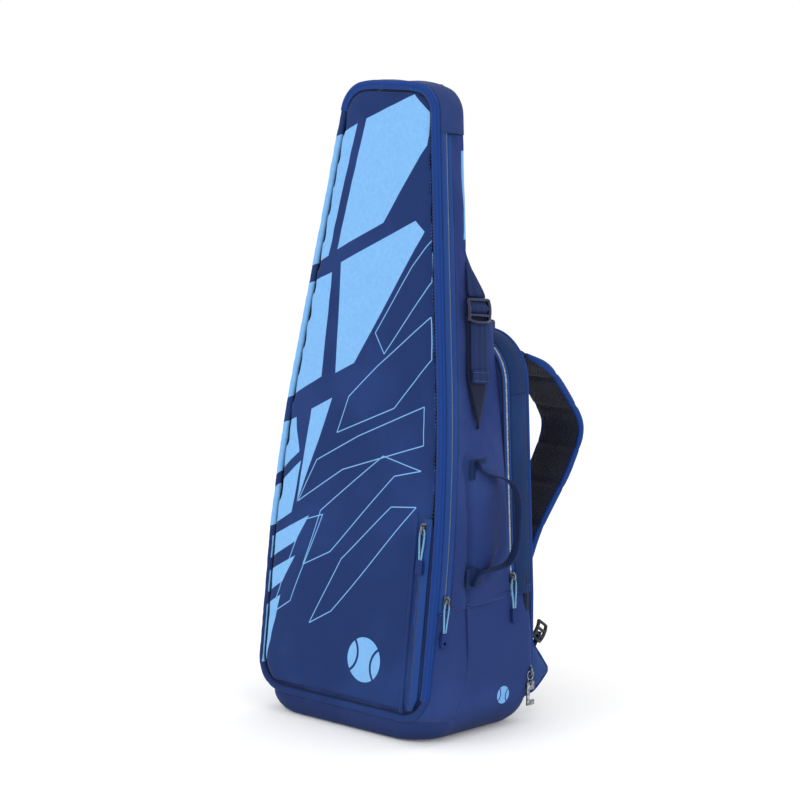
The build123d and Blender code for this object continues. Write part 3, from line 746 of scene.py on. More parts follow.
neck_back = strip("neck_back_cloth", neck_back_rule, 30, 50, (0.16, 0.29), neck_cloth, "bag")
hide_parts("neck_back_panel")
print("neck back", [round(c, 3) for c in neck_back.dimensions])

# %% [markdown]
# The main compartment is wider than the racket compartment in front of it, so a
# crescent of its front wall shows on both sides. The wall is one sheet behind the
# racket compartment, and it is the same outer cloth.

# %% Divider wall
def divider_rule(a, b):
    z = 0.034 + (0.4385 - 0.034) * b
    side = main_edge.spot(main_edge.reach(min(max(z, 0.026), 0.4410), True)).x - 0.0022
    x = (a * 2 - 1) * side
    rim = min(1.0, 12 * a * (1 - a)) * min(1.0, 12 * (1 - b) + 0.05)
    return Vector((x, 0.0584 - 0.0008 * rim + ripple(x, 0, z, 30, 4) * 0.0005, z))


divider = strip("divider_cloth", divider_rule, 60, 80, (0.26, 0.40), side_cloth, "bag", 0.0012, 0.0)
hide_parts("divider_panel")
print("divider", [round(c, 3) for c in divider.dimensions])

# %% [markdown]
# The main compartment's walls are strips of the same kind round the arch, between the
# silver zip and the back seam.

# %% Main compartment walls
def main_wall(start, stop, y0, y1, belly, seed):
    """The rule for one strip round the arch."""

    def rule(a, b):
        s = start + (stop - start) * a
        y = y0 + (y1 - y0) * b
        fold = ripple(a * 3, y * 12, seed, 3, seed) * 0.0012
        return around_main(s, y, -0.0004 + math.sin(math.pi * b) * (belly + fold))

    return rule


arch_right = main_edge.reach(0.375, True)
arch_left = main_edge.reach(0.375, False)
seam_right = main_edge.reach(seam_z, True)
seam_left = main_edge.reach(seam_z, False)
for name, start, stop, node in (
    ("right_main_cloth", seam_right, arch_right, "right_main_gusset"),
    ("left_main_cloth", arch_left, seam_left, "left_main_gusset"),
    ("arch_cloth", arch_right, arch_left, "top_main_gusset"),
):
    wall = strip(
        name, main_wall(start, stop, 0.068, 0.0945, 0.0022, 7.0), 90, 8, (stop - start, 0.027), gusset_cloth,
        "bag",
    )
    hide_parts(node)
print("walls laid")

# %% [markdown]
# A bound edge runs round the front panel: a folded tape sewn over the raw edges. It is
# bright and full along the zip and over the top, and narrow and dark down the far side
# and under the foot, where it is pulled tight. Each run is a flattened tube.

# %% Front binding and piping
def front_spine(start, stop, inset, sink):
    """Follows the front outline, inset into the panel and sunk behind its face."""

    def spine(a):
        spot, out = front_edge.at(start + (stop - start) * a)
        middle = on_front(spot.x - out.x * inset, spot.y - out.y * inset, -sink)
        return middle, Vector((out.x, 0, 0)) + up_front * out.y, out_front

    return spine


def front_run(name, start, stop, inset, sink, across, high, finish, shape=2.6, body="bag"):
    length = stop - start
    return tube(
        name, front_spine(start, stop, inset, sink), length, int(length * 260), across, high, finish, body, 14,
        shape,
    )


foot_right = front_edge.reach(0.052, True)
neck_left = front_edge.reach(0.690, False)
foot_left = front_edge.length + front_edge.reach(0.056, True)
bright_edge = front_run(
    "bright_front_binding", foot_right, neck_left, 0.0035, 0.0012, 0.0105, 0.0072, bright_binding,
)
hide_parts("front_binding")
panel_seam = front_run("panel_seam_cord", foot_right, neck_left, 0.0098, 0.0002, 0.0016, 0.0016, dark_tape, 2.0)
side_seam_cord = front_run(
    "zip_seam_cord", front_edge.reach(low_v(0.004), True), front_edge.reach(zip_top_v, True), -0.0002, 0.0046,
    0.0016, 0.0018, dark_tape, 2.0,
)
print("bright binding runs", round(neck_left - foot_right, 3), "m")

# %% [markdown]
# A zip is two tapes that meet at a coil. The tapes are strips along the outline that
# rise a little to the coil, and the coil is hundreds of small loops set side by side,
# so each loop is a low sphere, squashed and placed by its own matrix.

# %% Zips
def zip_band(name, place, start, stop, low, high, rise, finish, size):
    """One tape between two depths; it rises towards its inner edge."""

    def rule(a, b):
        s = start + (stop - start) * a
        lift = 0.0004 + rise * b + math.sin(math.pi * b) * 0.0005
        return place(s, low + (high - low) * b, lift)

    return strip(name, rule, int(size * 250), 5, (size, abs(high - low)), finish, "bag", 0.0010)


def coil(name, where, length, pitch, width, high, finish):
    """Loops side by side; where(t) gives a place, the way along and the way out."""
    work = bmesh.new()
    batch = bpy.data.meshes.new(name + "_batch")
    count = int(length / pitch)
    for first in range(0, count, 40):
        some = bmesh.new()
        for i in range(first, min(first + 40, count)):
            spot, along, out = where((i + 0.5) / count)
            across = along.cross(out).normalized()
            turned = Matrix((across, along, out)).transposed().to_4x4()
            shift = across * (0.0003 if i % 2 else -0.0003)
            size = Matrix.Diagonal((width / 2, pitch * 0.46, high / 2, 1))
            matrix = Matrix.Translation(spot + shift) @ turned @ size
            bmesh.ops.create_uvsphere(some, u_segments=8, v_segments=5, radius=1.0, matrix=matrix)
        some.to_mesh(batch)
        some.free()
        work.from_mesh(batch)
    bpy.data.meshes.remove(batch)
    return finish_piece(name, work, finish, "bag")


print("zip helpers ready")

# %% [markdown]
# The racket zip runs up the right wall, from the side seam to the neck's cap. Each of
# its loops needs a place, the way along the zip and the way out of the wall.

# %% Racket zip
def along_front(start, stop, depth, lift):
    """Where the racket zip's loops stand."""

    def where(t):
        s = start + (stop - start) * t
        a, b = around_front(s - 0.001, depth, lift), around_front(s + 0.001, depth, lift)
        out = around_front(s, depth, lift + 0.01) - around_front(s, depth, lift)
        return (a + b) / 2, (b - a).normalized(), out.normalized()

    return where


racket_start = front_edge.reach(low_v(0.0135), True)
racket_stop = front_edge.reach(zip_top_v - 0.001, True)
racket_length = racket_stop - racket_start
racket_tape_front = zip_band(
    "racket_tape_front", around_front, racket_start, racket_stop, 0.004, 0.0122, 0.0004, bright_tape,
    racket_length,
)
racket_tape_rear = zip_band(
    "racket_tape_rear", around_front, racket_start, racket_stop, 0.0232, 0.0148, 0.0004, bright_tape,
    racket_length,
)
racket_coil = coil(
    "racket_coil", along_front(racket_start, racket_stop, 0.0135, 0.0002), racket_length, 0.0014, 0.0038,
    0.0015, grey_teeth,
)
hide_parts("racket_zip_tape")
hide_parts("racket_zip_coil")
print("racket zip", round(racket_length, 3), "m")

# %% [markdown]
# The main compartment opens by a silver zip over its whole arch, and a short dark zip
# runs beside the back seam.

# %% Main and rear zips
def along_main(start, stop, y, lift):
    """Where the main zip's loops stand."""

    def where(t):
        s = start + (stop - start) * t
        a, b = around_main(s - 0.001, y, lift), around_main(s + 0.001, y, lift)
        out = around_main(s, y, lift + 0.01) - around_main(s, y, lift)
        return (a + b) / 2, (b - a).normalized(), out.normalized()

    return where


main_length = seam_left - seam_right
main_tape_front = zip_band(
    "main_tape_front", around_main, seam_right, seam_left, 0.0572, 0.0602, 0.0004, bright_tape, main_length,
)
main_tape_rear = zip_band(
    "main_tape_rear", around_main, seam_right, seam_left, 0.0682, 0.0648, 0.0004, bright_tape, main_length,
)
main_coil = coil(
    "main_coil", along_main(seam_right, seam_left, 0.0625, 0.0001), main_length, 0.0015, 0.0052, 0.0016,
    silver_teeth,
)
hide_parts("main_zip_tape")
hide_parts("main_zip_coil")

rear_start, rear_stop = main_edge.reach(0.045, True), main_edge.reach(0.385, True)
rear_length = rear_stop - rear_start
rear_tape_front = zip_band(
    "rear_tape_front", around_main, rear_start, rear_stop, 0.0835, 0.0882, 0.0010, dark_tape, rear_length,
)
rear_tape_rear = zip_band(
    "rear_tape_rear", around_main, rear_start, rear_stop, 0.0952, 0.0908, 0.0010, dark_tape, rear_length,
)
rear_coil = coil(
    "rear_coil", along_main(rear_start, rear_stop, 0.0895, 0.0012), rear_length, 0.0014, 0.0034, 0.0013,
    dark_teeth,
)
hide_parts("rear_zip_tape")
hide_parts("rear_zip_coil")
print("main zip", round(main_length, 3), "m, rear zip", round(rear_length, 3), "m")

# %% [markdown]
# The main compartment ends in a bound back seam, and its front zip has a fine piping
# on either side.

# %% Back binding
def main_spine(start, stop, y, lift):
    def spine(a):
        spot, out = main_edge.at(start + (stop - start) * a)
        return around_main(start + (stop - start) * a, y, lift), Vector((0, 1, 0)), Vector((out.x, 0, out.y))

    return spine


def main_run(name, start, stop, y, lift, across, high, finish, shape=2.4):
    length = stop - start
    return tube(
        name, main_spine(start, stop, y, lift), length, int(length * 220), across, high, finish, "bag", 12,
        shape,
    )


rim_start, rim_stop = 0.0, main_edge.length
back_edge = main_run("back_binding_cloth", rim_start, rim_stop, 0.0968, -0.0006, 0.0050, 0.0062, bright_binding)
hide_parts("back_binding")
main_run("arch_front_piping", seam_right, seam_left, 0.0566, 0.0004, 0.0016, 0.0018, dark_tape)
main_run("arch_rear_piping", seam_right, seam_left, 0.0690, 0.0004, 0.0016, 0.0018, dark_tape)


print("back binding runs", round(rim_stop - rim_start, 3), "m")

# %% [markdown]
# Straps, ribs and ridges follow a smooth line through a few points. The seam between
# the lower shell and the walls is lapped: a ridge that climbs a little towards the
# back, and a second seam curves down to the front corner of the foot.

# %% Smooth lines and seams
def smooth_line(points):
    """A smooth walk through points: returns spot(a), for a from 0 to 1, and its length."""
    dense = []
    for i in range(len(points) - 1):
        before, after = points[max(i - 1, 0)], points[min(i + 2, len(points) - 1)]
        here, there = points[i], points[i + 1]
        for step in range(12):
            t = step / 12
            dense.append(
                0.5 * (2 * here + (there - before) * t
                       + (2 * before - 5 * here + 4 * there - after) * t * t
                       + (3 * here - before - 3 * there + after) * t**3)
            )
    dense.append(points[-1])
    marks = [0.0]
    for first, second in zip(dense, dense[1:]):
        marks.append(marks[-1] + (second - first).length)

    def spot(a):
        s = min(max(a, 0.0), 1.0) * marks[-1]
        for i in range(len(marks) - 1):
            if s <= marks[i + 1]:
                return dense[i].lerp(dense[i + 1], (s - marks[i]) / (marks[i + 1] - marks[i]))
        return dense[-1]

    return spot, marks[-1]


def ribbon(name, points, side_of, across, high, finish, body="bag", shape=5.0, round_steps=12, fine=260):
    """A strap or a ridge through points; side_of(a, along) gives the way across it."""
    spot, total = smooth_line(points)

    def spine(a):
        along = (spot(a + 0.01) - spot(a - 0.01)).normalized()
        side = side_of(a, along).normalized()
        return spot(a), side, side.cross(along).normalized()

    return tube(name, spine, total, max(8, int(total * fine)), across, high, finish, body, round_steps, shape)


def seam_line(points, out_of, name, across=0.0022, high=0.0018, finish=None, body="bag"):
    """A ridge through a few points of the cloth."""
    return ribbon(
        name, points, lambda a, along: along.cross(out_of(None)), across, high, finish or side_cloth, body,
        2.0, 8,
    )


def right_out(spot):
    return Vector((1, 0, 0))


def left_out(spot):
    return Vector((-1, 0, 0))


seam_points = [
    Vector((0.1338, y, z)) for y, z in (
        (-0.056, 0.150), (-0.02, 0.1515), (0.02, 0.1535), (0.060, 0.1555), (0.094, 0.158),
    )
]
seam_line(seam_points, right_out, "right_side_seam", 0.0034, 0.0026)
seam_line([Vector((-p.x, p.y, p.z)) for p in seam_points], left_out, "left_side_seam", 0.0034, 0.0026)
curve_points = [
    Vector((x, y, z)) for x, y, z in (
        (0.1350, -0.012, 0.151), (0.1366, -0.012, 0.12), (0.1372, -0.013, 0.085), (0.1366, -0.019, 0.055),
        (0.1345, -0.030, 0.034), (0.127, -0.044, 0.018),
    )
]
seam_line(curve_points, right_out, "right_lower_seam", 0.0020, 0.0024)
seam_line([Vector((-p.x, p.y, p.z)) for p in curve_points], left_out, "left_lower_seam", 0.0020, 0.0024)
print("side seam", round(smooth_line(seam_points)[1], 3), "m")

# %% [markdown]
# The front panel is foam between two cloths. It is made as sewn cushions are: the flat
# outline is given its thickness, remeshed evenly and blown up a little by a cloth
# simulation, so that it crowns between its sewn edges.

# %% Padding
def blow_up(piece, voxel, pressure, cap, smooth_rounds=4):
    """Swells a flat-made pad with cloth pressure, no point moving more than cap."""
    bpy.context.view_layer.objects.active = piece
    remesh = piece.modifiers.new("even", "REMESH")
    remesh.mode = "VOXEL"
    remesh.voxel_size = voxel
    depsgraph = bpy.context.evaluated_depsgraph_get()
    even = bpy.data.meshes.new_from_object(piece.evaluated_get(depsgraph))
    piece.modifiers.clear()
    piece.data = even
    start = [dot.co.copy() for dot in even.vertices]
    swell = piece.modifiers.new("swell", "CLOTH")
    swell.settings.use_pressure = True
    swell.settings.uniform_pressure_force = pressure
    swell.settings.effector_weights.gravity = 0
    swell.settings.quality = 4
    scene = bpy.context.scene
    for step in range(1, 13):
        scene.frame_set(step)
    depsgraph = bpy.context.evaluated_depsgraph_get()
    grown = [dot.co.copy() for dot in piece.evaluated_get(depsgraph).data.vertices]
    piece.modifiers.clear()
    scene.frame_set(1)
    for dot, before, after in zip(even.vertices, start, grown):
        move = after - before
        if move.length > cap:
            move *= cap / move.length
        dot.co = before + move
    work = bmesh.new()
    work.from_mesh(even)
    for _ in range(smooth_rounds):
        bmesh.ops.smooth_vert(
            work, verts=work.verts[:], factor=0.5, use_axis_x=True, use_axis_y=True, use_axis_z=True,
        )
    return work


def flat_pad(outline_points, thick, name):
    """A flat outline given its thickness, as cut foam is, lying in its own plane."""
    work = bmesh.new()
    face = work.faces.new([work.verts.new((x, y, -thick)) for x, y in outline_points])
    raised = bmesh.ops.extrude_face_region(work, geom=[face])
    top = [g for g in raised["geom"] if isinstance(g, bmesh.types.BMVert)]
    bmesh.ops.translate(work, verts=top, vec=(0, 0, thick))
    bmesh.ops.recalc_face_normals(work, faces=work.faces[:])
    mesh = bpy.data.meshes.new(name)
    work.to_mesh(mesh)
    work.free()
    piece = bpy.data.objects.new(name, mesh)
    bpy.context.collection.objects.link(piece)
    return piece


# %% [markdown]
# The front panel follows the leaning outline, a little inside it. After it has been
# blown up its face is given a low crown, some unevenness and puckers at the seam, and
# is moved onto the front.

# %% Front panel
steps = 260
inset = 0.0050
rim = []
for i in range(steps):
    spot, out = front_edge.at(front_edge.length * i / steps)
    rim.append((spot.x - out.x * inset, spot.y - out.y * inset))
panel = flat_pad(rim, 0.0042, "front_panel_cloth")
work = blow_up(panel, 0.0045, 3.0, 0.0035, 3)


def edge_distance(x, y):
    """How far a point of the panel is from its outline, roughly."""
    side = front_edge.spot(front_edge.reach(min(max(y, 0.0275), 0.7225), True)).x - abs(x)
    return min(side, y - 0.027, 0.7238 - y)


for dot in work.verts:
    x, y, w = dot.co
    if w > -0.002:
        near = min(1.0, max(0.0, (edge_distance(x, y) - inset) / 0.05))
        crown = 0.0030 * near ** 0.7
        rough = ripple(x, y, 0, 9, 1.0) * 0.0022 * near
        puckers = ripple(x * 0.8, y, 0.3, 60, 6.0) * 0.0016 * (1 - near) * min(
            1.0, max(0.0, (edge_distance(x, y) - inset) / 0.006),
        )
        dot.co.z = w * 0.6 + crown + rough + puckers - 0.0006
    dot.co = on_front(dot.co.x, dot.co.y, dot.co.z)
bpy.data.objects.remove(panel)
print("panel dots", len(work.verts))

# %% [markdown]
# The print on the panel is a set of light-blue shards that lean with the bag and thin
# drawn outlines that echo them. Each shard is a mask: a point is inside where its
# signed distances to all edges are positive, and one dot product gives each distance.

# %% Printed shapes
def front_coordinates(finish, parts):
    """(across, up, 1) on the leaning front, in millimetres."""
    x, y, z = parts
    up = ((y + 0.080) * math.sin(lean) + z * math.cos(lean)) * 1000
    return finish.node("CombineXYZ", None, {0: x * 1000, 1: up, 2: 1.0})


def half_plane(finish, chart, first, second):
    """Distance to the left of the line from first to second."""
    along = Vector((second[0] - first[0], second[1] - first[1])).normalized()
    normal = Vector((-along.y, along.x))
    return finish.node(
        "VectorMath", {"operation": "DOT_PRODUCT"},
        {0: chart, 1: (normal.x, normal.y, -normal.x * first[0] - normal.y * first[1])}, out=1,
    )


def shard(finish, chart, corners):
    """1 inside a shard whose corners run anticlockwise, with crisp printed edges."""
    inside = None
    for first, second in zip(corners, corners[1:] + corners[:1]):
        side = half_plane(finish, chart, first, second)
        inside = side if inside is None else inside.least(side)
    return inside.step(-0.3, 0.3)


def stroke(finish, chart, first, second, half=0.55):
    """1 along a thin drawn line."""
    length = math.dist(first, second)
    along = ((second[0] - first[0]) / length, (second[1] - first[1]) / length)
    off = half_plane(finish, chart, first, second).size()
    run = finish.node(
        "VectorMath", {"operation": "DOT_PRODUCT"},
        {0: chart, 1: (along[0], along[1], -along[0] * first[0] - along[1] * first[1])}, out=1,
    )
    past = (run - length / 2).size() - (length / 2 - half)
    return 1 - off.most(past).step(half - 0.3, half + 0.3)


print("helpers for the print ready")

# %% [markdown]
# Corners are in millimetres across and up the front. The filled shards stand in two
# columns on the left, the drawn ones to their right, and a plain ball is printed at
# the foot.

# %% The front's print
shards = [
    [(-112, 507), (-72, 526), (-44, 676), (-84, 657)],
    [(-58, 534), (10, 568), (64, 656), (66, 690), (38, 711), (-30, 682)],
    [(-140, 350), (-66, 390), (-64, 508), (-140, 478)],
    [(-44, 396), (-16, 410), (72, 562), (58, 573), (-50, 520)],
    [(-140, 262), (-92, 302), (-103, 340), (-140, 326)],
    [(-90, 244), (-62, 318), (-46, 368), (-78, 352)],
    [(-140, 206), (-97, 232), (-88, 292), (-140, 248)],
    [(-140, 168), (-86, 200), (-68, 232), (-140, 194)],
    [(-140, 128), (-102, 152), (-84, 184), (-140, 154)],
    [(-140, 52), (-122, 56), (-104, 136), (-140, 114)],
]
outlines = [
    [(28, 424), (88, 508), (84, 556), (58, 522), (12, 446)],
    [(-34, 330), (50, 366), (98, 424), (92, 470), (20, 410), (-20, 372)],
    [(-88, 246), (-20, 290), (98, 330), (94, 372), (0, 330), (-62, 296)],
    [(-70, 176), (-30, 196), (60, 292), (98, 302), (40, 312), (-50, 240)],
    [(-118, 112), (-86, 132), (-46, 236), (-76, 226)],
    [(-52, 112), (-20, 130), (96, 262), (60, 258), (-12, 190)],
]
printed_cloth = cloth("printed_cloth", (29, 52, 106), (36, 62, 120))
plain = printed_cloth.shader.inputs["Base Color"].links[0].from_socket
where, parts = printed_cloth.place()
chart = front_coordinates(printed_cloth, parts)
ink = None
for corners in shards:
    one = shard(printed_cloth, chart, corners)
    ink = one if ink is None else ink.most(one)
for corners in outlines:
    for first, second in zip(corners, corners[1:] + corners[:1]):
        ink = ink.most(stroke(printed_cloth, chart, first, second))

# the ball has two curved seams and stands where a maker would sign
chart_u, chart_v = [printed_cloth.node("SeparateXYZ", None, {0: chart}, out=i) for i in (0, 1)]
disc = ball_mark(printed_cloth, chart_u - 36.0, chart_v - 84.0, 25.0, 34.0, 1.2)
ink = ink.most(disc)
cotton = printed_cloth.noise(where, 240.0, 2.0)
on_face = (chart_u > -128.0).most(chart_v > 212.0)
ink = ink * on_face
light_blue = printed_cloth.mix(cotton, linear(112, 168, 224), linear(134, 188, 238))
printed_cloth.put("Base Color", printed_cloth.mix(ink * 0.96, Sum(printed_cloth, plain), light_blue))
panel = finish_piece("front_panel_cloth", work, printed_cloth, "bag")
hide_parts("front_panel")

far_edge = front_run(
    "rolled_edge", neck_left - 0.003, foot_left, 0.0022, 0.0024, 0.0086, 0.0070, printed_cloth, 2.0,
)
for dot in far_edge.data.vertices:
    x, y, z = dot.co
    rough = ripple(x, y, z, 70, 4.0) * 0.0007 + ripple(x, y, z, 230, 2.0) * 0.0005
    dot.co += out_front * rough
far_seam = front_run(
    "rolled_edge_seam", front_edge.reach(0.205, False), foot_left, 0.0072, 0.0006, 0.0014, 0.0010, dark_tape,
    2.0,
)
gusset_seam = front_run(
    "gusset_seam", neck_left - 0.003, foot_left, -0.0006, 0.0058, 0.0018, 0.0016, dark_tape, 2.0,
)
print("print nodes", len(printed_cloth.tree.nodes))

# %% [markdown]
# The front pocket's zip runs down the panel beside the binding: a dark tape on the
# pocket's side, a fine coil, and a brighter tape on the edge's side. Its coil follows
# a straight line up the leaning front.

# %% Pocket zip
pocket_u, pocket_low, pocket_high = 0.110, 0.040, 0.252


def pocket_tape(name, near, far, finish):
    def rule(a, b):
        v = pocket_low + (pocket_high - pocket_low) * a
        u = near + (far - near) * b
        narrow = min(1.0, a * 9 + 0.35)
        u = pocket_u + (u - pocket_u) * narrow
        return on_front(u, v, 0.0022 + 0.0010 * (1 - b) + ripple(u, v, 0, 60, 2) * 0.0003)

    return strip(name, rule, 60, 6, (pocket_high - pocket_low, abs(far - near)), finish, "bag", 0.0010)


pocket_dark = pocket_tape("pocket_tape_dark", 0.1088, 0.1000, bright_tape)
pocket_bright = pocket_tape("pocket_tape_bright", 0.1112, 0.1206, bright_tape)
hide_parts("pocket_zip_band")


def along_pocket(t):
    return on_front(pocket_u, pocket_low + (pocket_high - pocket_low) * t, 0.0031), up_front, out_front


pocket_coil = coil("pocket_coil", along_pocket, pocket_high - pocket_low, 0.0014, 0.0038, 0.0014, dark_teeth)
pocket_lip = ribbon(
    "pocket_lip", [on_front(0.0990, v, 0.0034) for v in (0.036, 0.09, 0.17, 0.256)],
    lambda a, along: Vector((1, 0, 0)), 0.0046, 0.0038, printed_cloth, shape=2.4,
)
print("pocket zip", round(pocket_high - pocket_low, 3), "m")

# %% [markdown]
# Each slider carries a folded cord that runs through its bail and into a moulded tab.
# A cord is a curve whose control points are its route, so its line stays smooth, and
# it swings with its own pull.

# %% Sliders and pull cords
racket_v = (0.160 + 0.0135 * math.sin(lean)) / math.cos(lean)
slope = math.atan(11.5 / 286)
main_way_up = Vector((-math.sin(slope), 0, math.cos(slope)))
main_way_out = Vector((math.cos(slope), 0, math.sin(slope)))
main_spot = Vector((half_width - 0.020 * math.tan(slope) + 0.0008 / math.cos(slope), 0.0625, 0.170))
pulls = {
    "racket": (on_front(half_width + 0.0008, racket_v, -0.0135), up_front, Vector((1, 0, 0))),
    "pocket": (on_front(pocket_u, 0.240, 0.0016), up_front, out_front),
    "main": (main_spot, main_way_up, main_way_out),
}
half_loop = [(1.5, -34.0), (2.0, -25.0), (3.3, -14.0), (3.7, -6.0), (2.4, 0.0)]
loop_route = half_loop + [(-x, y) for x, y in reversed(half_loop)]
for name, (spot, way_up, way_out) in pulls.items():
    across = way_up.cross(way_out)
    line = bpy.data.curves.new(f"{name}_cord", "CURVE")
    line.dimensions = "3D"
    run = line.splines.new("NURBS")
    run.points.add(len(loop_route) - 1)
    for dot, (x, y) in zip(run.points, loop_route):
        place = spot + across * (x / 1000) + way_up * (y / 1000) + way_out * 0.004
        dot.co = (*place, 1.0)
    run.order_u = 3
    run.use_endpoint_u = True
    run.resolution_u = 12
    line.bevel_depth = 0.001
    line.bevel_resolution = 3
    line.use_fill_caps = True
    pull = bpy.data.objects.new(f"{name}_cord", line)
    bpy.context.collection.objects.link(pull)
    line.materials.append(braid.material)
    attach(pull, f"{name}_pull")
    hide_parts(f"{name}_pull_cord")
    leaves = spot + across * 0.0015 + way_up * -0.034 + way_out * 0.004


def refinish(finish, *names):
    """Gives CAD pieces a better material and keeps their shape."""
    for name in names:
        node = nodes[name]
        node.data.materials.clear()
        node.data.materials.append(finish.material)


refinish(gunmetal, "racket_zip_slider", "pocket_zip_slider", "main_zip_slider", "rear_zip_slider")
refinish(tab_rubber, "racket_pull_tab", "pocket_pull_tab", "main_pull_tab")
refinish(hook_plating, "rear_pull_rings", "rear_pull_hook")
refinish(lining_cloth, "pocket_lining")
print("pulls hung")

# %% [markdown]
# The carry handle is one length of webbing, sewn flat to the wall at both ends and
# standing off between them.

# %% Side handle
low_end = Vector((0.134566, -0.004, 0.182))
high_end = Vector((0.128856, 0.008, 0.300))
handle_up = (high_end - low_end).normalized()
reach_way = Vector((0.5, math.sin(math.radians(60)), 0))
reach_way = (reach_way - handle_up * reach_way.dot(handle_up)).normalized()
handle_side = reach_way.cross(handle_up)
span = (high_end - low_end).length


def off_wall(reach, along):
    return low_end + reach_way * reach + handle_up * along


handle_points = [
    off_wall(0.0016, -0.010) + Vector((0.0008, -0.003, 0)), off_wall(0.005, 0.001), off_wall(0.014, 0.0055),
    off_wall(0.026, 0.0085), off_wall(0.042, 0.0155), off_wall(0.0505, 0.034), off_wall(0.0520, span / 2),
    off_wall(0.0505, span - 0.034), off_wall(0.042, span - 0.0155), off_wall(0.026, span - 0.0085),
    off_wall(0.014, span - 0.0055), off_wall(0.005, span - 0.001), off_wall(0.0016, span + 0.010) + Vector(
        (0.0008, -0.003, 0)
    ),
]


def handle_width(a):
    return 0.0235 + 0.0015 * math.cos(2 * math.pi * a)


def handle_high(a):
    grip = min(1, max(0, 6 * (a - 0.25))) * min(1, max(0, 6 * (0.75 - a)))
    return 0.0022 + 0.0026 * grip


handle = ribbon(
    "handle_webbing", handle_points, lambda a, along: handle_side, handle_width, handle_high, navy_webbing, None,
)
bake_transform(handle)
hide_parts("side_handle", "handle_anchors")
for end, height in (("low", 0.0), ("high", span)):
    spots = [
        off_wall(0.0044, height + step) + Vector((0.0012, -0.0035, 0)) for step in (-0.011, -0.004, 0.004, 0.011)
    ]
    patch = ribbon(
        f"handle_patch_{end}", spots, lambda a, along: Vector((0, 1, 0)), 0.026, 0.0020, navy_webbing, "bag",
        6.0,
    )
print("handle spans", round(span, 3), "m")

# %% [markdown]
# The shoulder straps are foam shaped like a flat tongue: blue cloth outside, spacer
# mesh inside, bound at both edges and sewn across so that they fold where the
# shoulder bends them. They narrow to the webbing at their lower ends.

# %% Shoulder straps
strap_route = [
    (0.118, 0.413), (0.152, 0.392), (0.184, 0.357), (0.2052, 0.3215), (0.190, 0.284), (0.160, 0.240),
    (0.138, 0.205), (0.124, 0.165),
]
strap_folds = (0.16, 0.33, 0.50, 0.66, 0.83)
strap_x = 0.084


def strap_across(a):
    return 0.058 - 0.020 * max(0.0, (a - 0.62) / 0.38) - 0.016 * max(0.0, (0.08 - a) / 0.08)


def strap_high(a):
    dip = sum(math.exp(-(((a - fold) / 0.010) ** 2)) for fold in strap_folds)
    ends = min(1.0, a * 14, (1 - a) * 10 + 0.2)
    return 0.0125 * (1 - 0.45 * min(1, dip)) * (0.35 + 0.65 * ends)


for side, word in ((1, "right"), (-1, "left")):
    body = f"strap_{word}"
    route = [Vector((side * strap_x, y, z)) for y, z in strap_route]
    pad = ribbon(
        f"strap_pad_{word}", route, lambda a, along: Vector((1, 0, 0)), strap_across, strap_high,
        [strap_cloth, mesh_cloth], body, 3.2, 28, 300,
    )
    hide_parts(f"shoulder_pad_{word}")
    spot, total = smooth_line(route)
    for edge in (-1, 1):
        rim_points = [spot(i / 22) + Vector((edge * (strap_across(i / 22) / 2 - 0.0012), 0, 0)) for i in range(23)]
        rim = ribbon(
            f"strap_edge_{word}_{'in' if edge < 0 else 'out'}", rim_points, lambda a, along: Vector((1, 0, 0)),
            0.0056, lambda a: strap_high(a) * 0.5 + 0.0022, bright_binding, body, 2.2, 10,
        )
    root = ribbon(
        f"strap_root_{word}",
        [
            Vector((side * strap_x, y, z)) for y, z in (
                (0.0975, 0.4190), (0.1040, 0.4185), (0.1120, 0.4165), (0.1240, 0.4090),
            )
        ],
        lambda a, along: Vector((1, 0, 0)), 0.040, 0.0042, navy_webbing, None,
    )
    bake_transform(root)
    web = ribbon(
        f"strap_web_{word}",
        [
            Vector((side * strap_x, y, z)) for y, z in (
                (0.1215, 0.170), (0.1215, 0.150), (0.1215, 0.136), (0.1190, 0.124), (0.1120, 0.1085),
                (0.1040, 0.1035), (0.0985, 0.1030),
            )
        ],
        lambda a, along: Vector((1, 0, 0)), 0.0245, 0.0018, blue_webbing, None,
    )
    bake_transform(web)
    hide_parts(f"strap_webbing_{word}")
    if word == "right":
        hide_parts("strap_anchors")
        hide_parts("strap_foot_anchors")
print("strap pad", round(total, 3), "m long")

# %% [markdown]
# The haul loop at the top of the back is a doubled webbing whose ends are sewn into
# the seam above the pads.

# %% Haul loop
haul_points = [Vector((x, y, z)) for x, y, z in (
    (-0.043, 0.0985, 0.430), (-0.0415, 0.106, 0.431), (-0.040, 0.120, 0.434), (-0.036, 0.138, 0.434), (
        -0.022, 0.1505, 0.434,
    ),
    (0.0, 0.152, 0.434), (0.022, 0.1505, 0.434), (0.036, 0.138, 0.434), (0.040, 0.120, 0.434), (0.0415, 0.106, 0.431), (
        0.043, 0.0985, 0.430,
    ),
)]
haul = ribbon("haul_webbing", haul_points, lambda a, along: Vector((0, 0, 1)), 0.0195, 0.0036, navy_webbing, None)
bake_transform(haul)
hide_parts("haul_loop", "haul_anchor")
print("haul loop", [round(c, 3) for c in haul.dimensions])

# %% [markdown]
# A ladder lock is a moulded frame with bars that webbing is threaded round. The two
# neck buckles lie on the tapering walls, so a small class gives those walls' own
# directions, and the strap adjusters and waist buckles use the same bars.

